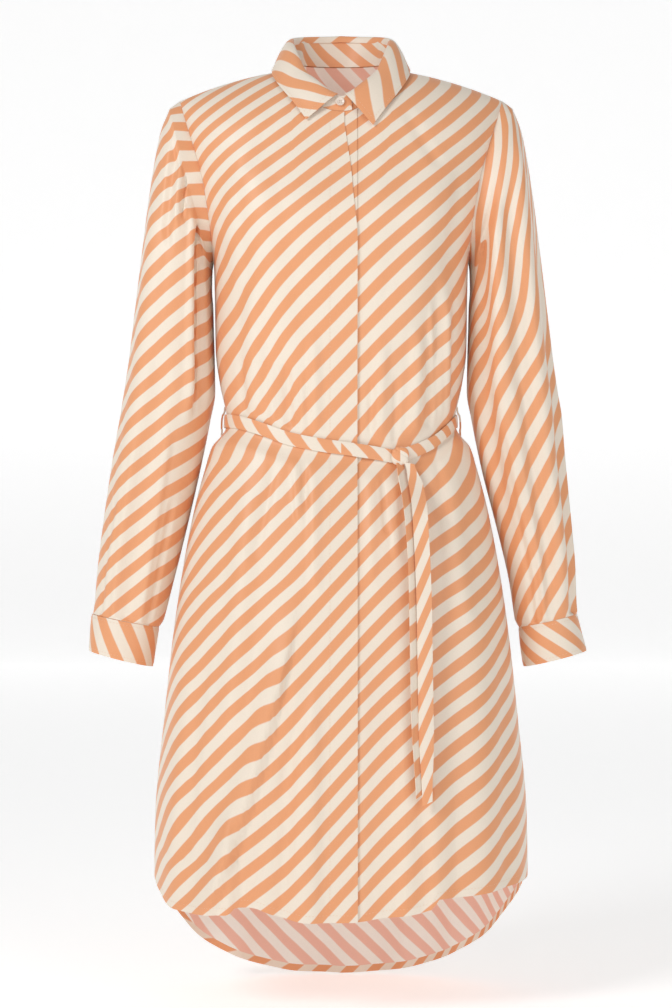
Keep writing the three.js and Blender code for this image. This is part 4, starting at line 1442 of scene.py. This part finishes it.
class SHIRTDRESS_OT_button(bpy.types.Operator):
    """Make the collar button with its four holes, shown as dark discs of painted shade, and their
    thread
    """

    bl_idname = "shirt_dress.button"
    bl_label = "Collar button"

    def execute(self, context):
        r = context.scene.shirt_dress_sizes.button_radius / MM
        points, faces = lathe([(share * r, height) for share, height in BUTTON_OUTLINE], 40)
        turned = np.stack((points[:, 0], -points[:, 2], points[:, 1]), -1)
        c, s = math.cos(-BUTTON_TILT), math.sin(-BUTTON_TILT)

        def placed(local):
            y = local[:, 1] * c - local[:, 2] * s
            z = local[:, 1] * s + local[:, 2] * c
            return np.stack((local[:, 0], y, z), -1) + np.array(BUTTON_PLACE)

        mesh = mesh_of("dress_collar_button", placed(turned), faces)
        dressed(show("dress_collar_button", mesh, ("pearl",)), "collar_button")
        for name, (material, radius, height) in BUTTON_INSETS.items():
            top = (0, height), (radius * 0.8, height), (radius, height - 0.08)
            p, f = lathe((*top, (radius, 0.2), (0, 0.2)), 12)
            all_points, all_faces = [], []
            for dx, dz in ((-1, -1), (1, -1), (1, 1), (-1, 1)):
                base = len(all_points)
                all_points += [(x + dx * HOLE_OFF, -z, y + dz * HOLE_OFF) for x, y, z in p]
                all_faces += [tuple(base + k for k in face) for face in f]
            points = placed(np.array(all_points))
            mesh = mesh_of(f"dress_button_{name}", points, all_faces, smooth=False)
            dressed(show(f"dress_button_{name}", mesh, (material,)), None)
        return {"FINISHED"}


class SHIRTDRESS_OT_stitching(bpy.types.Operator):
    """Sew the rows of stitches at placket, hem, collar and cuffs"""

    bl_idname = "shirt_dress.stitching"
    bl_label = "Stitching"

    def execute(self, context):
        z = np.linspace(NECK_PIT_Z - 2, -950, 700)
        lines = [body_line(-1, np.full(z.shape, PLACKET_STITCH), z)]
        hems = (-1, -205, 15, 260), (-1, 22, 205, 220), (1, -205, 205, 500)
        for side, start, end, count in hems:
            x = np.linspace(start, end, count)
            hem = front_hem(x) if side < 0 else back_hem(np.abs(x))
            lines.append(body_line(side, x, hem + STITCH_OVER_HEM))
        fall = fall_grid()
        low, first, last = len(fall) - 3.2, 5.0, fall.shape[1] - 6.0
        down = np.linspace(12, low, 60)
        lines.append(grid_line(fall, down, np.full(60, first)))
        lines.append(grid_line(fall, np.full(400, low), np.linspace(first, last, 400)))
        lines.append(grid_line(fall, down, np.full(60, last)))
        for hand in (-1, 1):
            cuff = cuff_grid(hand)
            around = np.linspace(0, SLEEVE_TURNS, 300)
            for row in (1.6, 17.2):
                lines.append(grid_line(cuff, np.full(300, row), around, ring=True))
        piece = show("dress_stitching", stitch_mesh("dress_stitching", lines), ("thread",))
        dressed(piece, None)
        return {"FINISHED"}


# The studio, in metres: the paper's floor, its ends, bend and half width, and the camera's place.
FLOOR_Z = -1.0605
PAPER_FRONT, PAPER_BACK, PAPER_TOP, PAPER_BEND, PAPER_HALF = -8.0, 7.5, 6.0, 0.9, 9.0
CAMERA_X, CAMERA_Z = -0.00575, -0.4945
VIEW_WIDE = 1.1592  # what the camera's longer side takes in at the shoulder line
SENSOR = 36.0
AIM = (0, 0, -0.5)


class SHIRTDRESS_OT_studio(bpy.types.Operator):
    """Set up the paper floor and backdrop, the lights and the camera"""

    bl_idname = "shirt_dress.studio"
    bl_label = "Studio"

    def execute(self, context):
        studio = context.scene.shirt_dress_studio
        scene = context.scene
        mesh = bpy.data.meshes.new("studio_paper")
        profile = [(PAPER_FRONT, FLOOR_Z)]
        for t in np.linspace(0, math.pi / 2, 16):
            y = PAPER_BACK - PAPER_BEND * (1 - math.sin(t))
            profile.append((y, FLOOR_Z + PAPER_BEND * (1 - math.cos(t))))
        profile.append((PAPER_BACK, PAPER_TOP))
        points = [(x, y, z) for y, z in profile for x in (-PAPER_HALF, PAPER_HALF)]
        faces = [(2 * k, 2 * k + 1, 2 * k + 3, 2 * k + 2) for k in range(len(profile) - 1)]
        mesh.from_pydata(points, [], faces)
        mesh.update()
        mesh.shade_smooth()
        paper = show("studio_paper", mesh, ("paper",))
        shader = material_named("paper").node_tree.nodes["Principled BSDF"]
        shader.inputs["Emission Color"].default_value = (1, 1, 1, 1)
        shader.inputs["Emission Strength"].default_value = studio.glow
        for name, place, size, power in (
            ("key", (-1.9, -2.2, 1.1), 1.2, studio.key_power),
            ("fill", (1.6, -2.4, 0.2), 1.8, studio.fill_power),
        ):
            data = bpy.data.lights.new(f"studio_{name}", "AREA")
            data.shape, data.size, data.energy = "DISK", size, power
            lamp = bpy.data.objects.new(f"studio_{name}", data)
            lamp.location = place
            x, y, z = np.array(AIM) - np.array(place)
            yaw, pitch = math.atan2(x, y), math.atan2(z, math.hypot(x, y))
            lamp.rotation_euler = (math.pi / 2 + pitch, 0, -yaw)
            scene.collection.objects.link(lamp)
        world = bpy.data.worlds.new("studio_room")
        world.use_nodes = True
        room = world.node_tree.nodes["Background"]
        room.inputs["Color"].default_value = (1, 1, 1, 1)
        room.inputs["Strength"].default_value = studio.sky
        scene.world = world
        camera = bpy.data.cameras.new("studio_camera")
        camera.sensor_width, camera.lens = SENSOR, SENSOR * studio.distance / VIEW_WIDE
        camera.clip_end = 50.0
        holder = bpy.data.objects.new("studio_camera", camera)
        holder.location = (CAMERA_X, -studio.distance, CAMERA_Z)
        holder.rotation_euler = (math.pi / 2, 0, 0)
        scene.collection.objects.link(holder)
        scene.camera = holder
        scene.view_settings.view_transform = "Standard"
        return {"FINISHED"}


PIECE_OPERATORS = (
    SHIRTDRESS_OT_fronts,
    SHIRTDRESS_OT_back,
    SHIRTDRESS_OT_sleeves,
    SHIRTDRESS_OT_collar,
    SHIRTDRESS_OT_belt,
    SHIRTDRESS_OT_button,
    SHIRTDRESS_OT_stitching,
    SHIRTDRESS_OT_studio,
)


class SHIRTDRESS_PT_panel(bpy.types.Panel):
    """Lists the dress's sizes, colours and pieces"""

    bl_idname = "SHIRTDRESS_PT_panel"
    bl_label = "Shirt dress"
    bl_space_type = "VIEW_3D"
    bl_region_type = "UI"
    bl_category = "Shirt dress"

    def draw(self, context):
        for settings in ("shirt_dress_sizes", "shirt_dress_look", "shirt_dress_studio"):
            group = getattr(context.scene, settings)
            box = self.layout.box()
            for key in group.__annotations__:
                box.prop(group, key)
        for operator in PIECE_OPERATORS:
            self.layout.operator(operator.bl_idname)


CLASSES = (ShirtDressSizes, ShirtDressLook, ShirtDressStudio, *PIECE_OPERATORS, SHIRTDRESS_PT_panel)


def register():
    for cls in CLASSES:
        bpy.utils.register_class(cls)
    bpy.types.Scene.shirt_dress_sizes = PointerProperty(type=ShirtDressSizes)
    bpy.types.Scene.shirt_dress_look = PointerProperty(type=ShirtDressLook)
    bpy.types.Scene.shirt_dress_studio = PointerProperty(type=ShirtDressStudio)


def unregister():
    for name in ("shirt_dress_studio", "shirt_dress_look", "shirt_dress_sizes"):
        delattr(bpy.types.Scene, name)
    for cls in reversed(CLASSES):
        bpy.utils.unregister_class(cls)


def main():
    register()
    bpy.ops.shirt_dress.fronts()
    bpy.ops.shirt_dress.back()
    bpy.ops.shirt_dress.sleeves()
    bpy.ops.shirt_dress.collar()
    bpy.ops.shirt_dress.belt()
    bpy.ops.shirt_dress.button()
    bpy.ops.shirt_dress.stitching()
    bpy.ops.shirt_dress.studio()


if __name__ == "__main__":
    main()
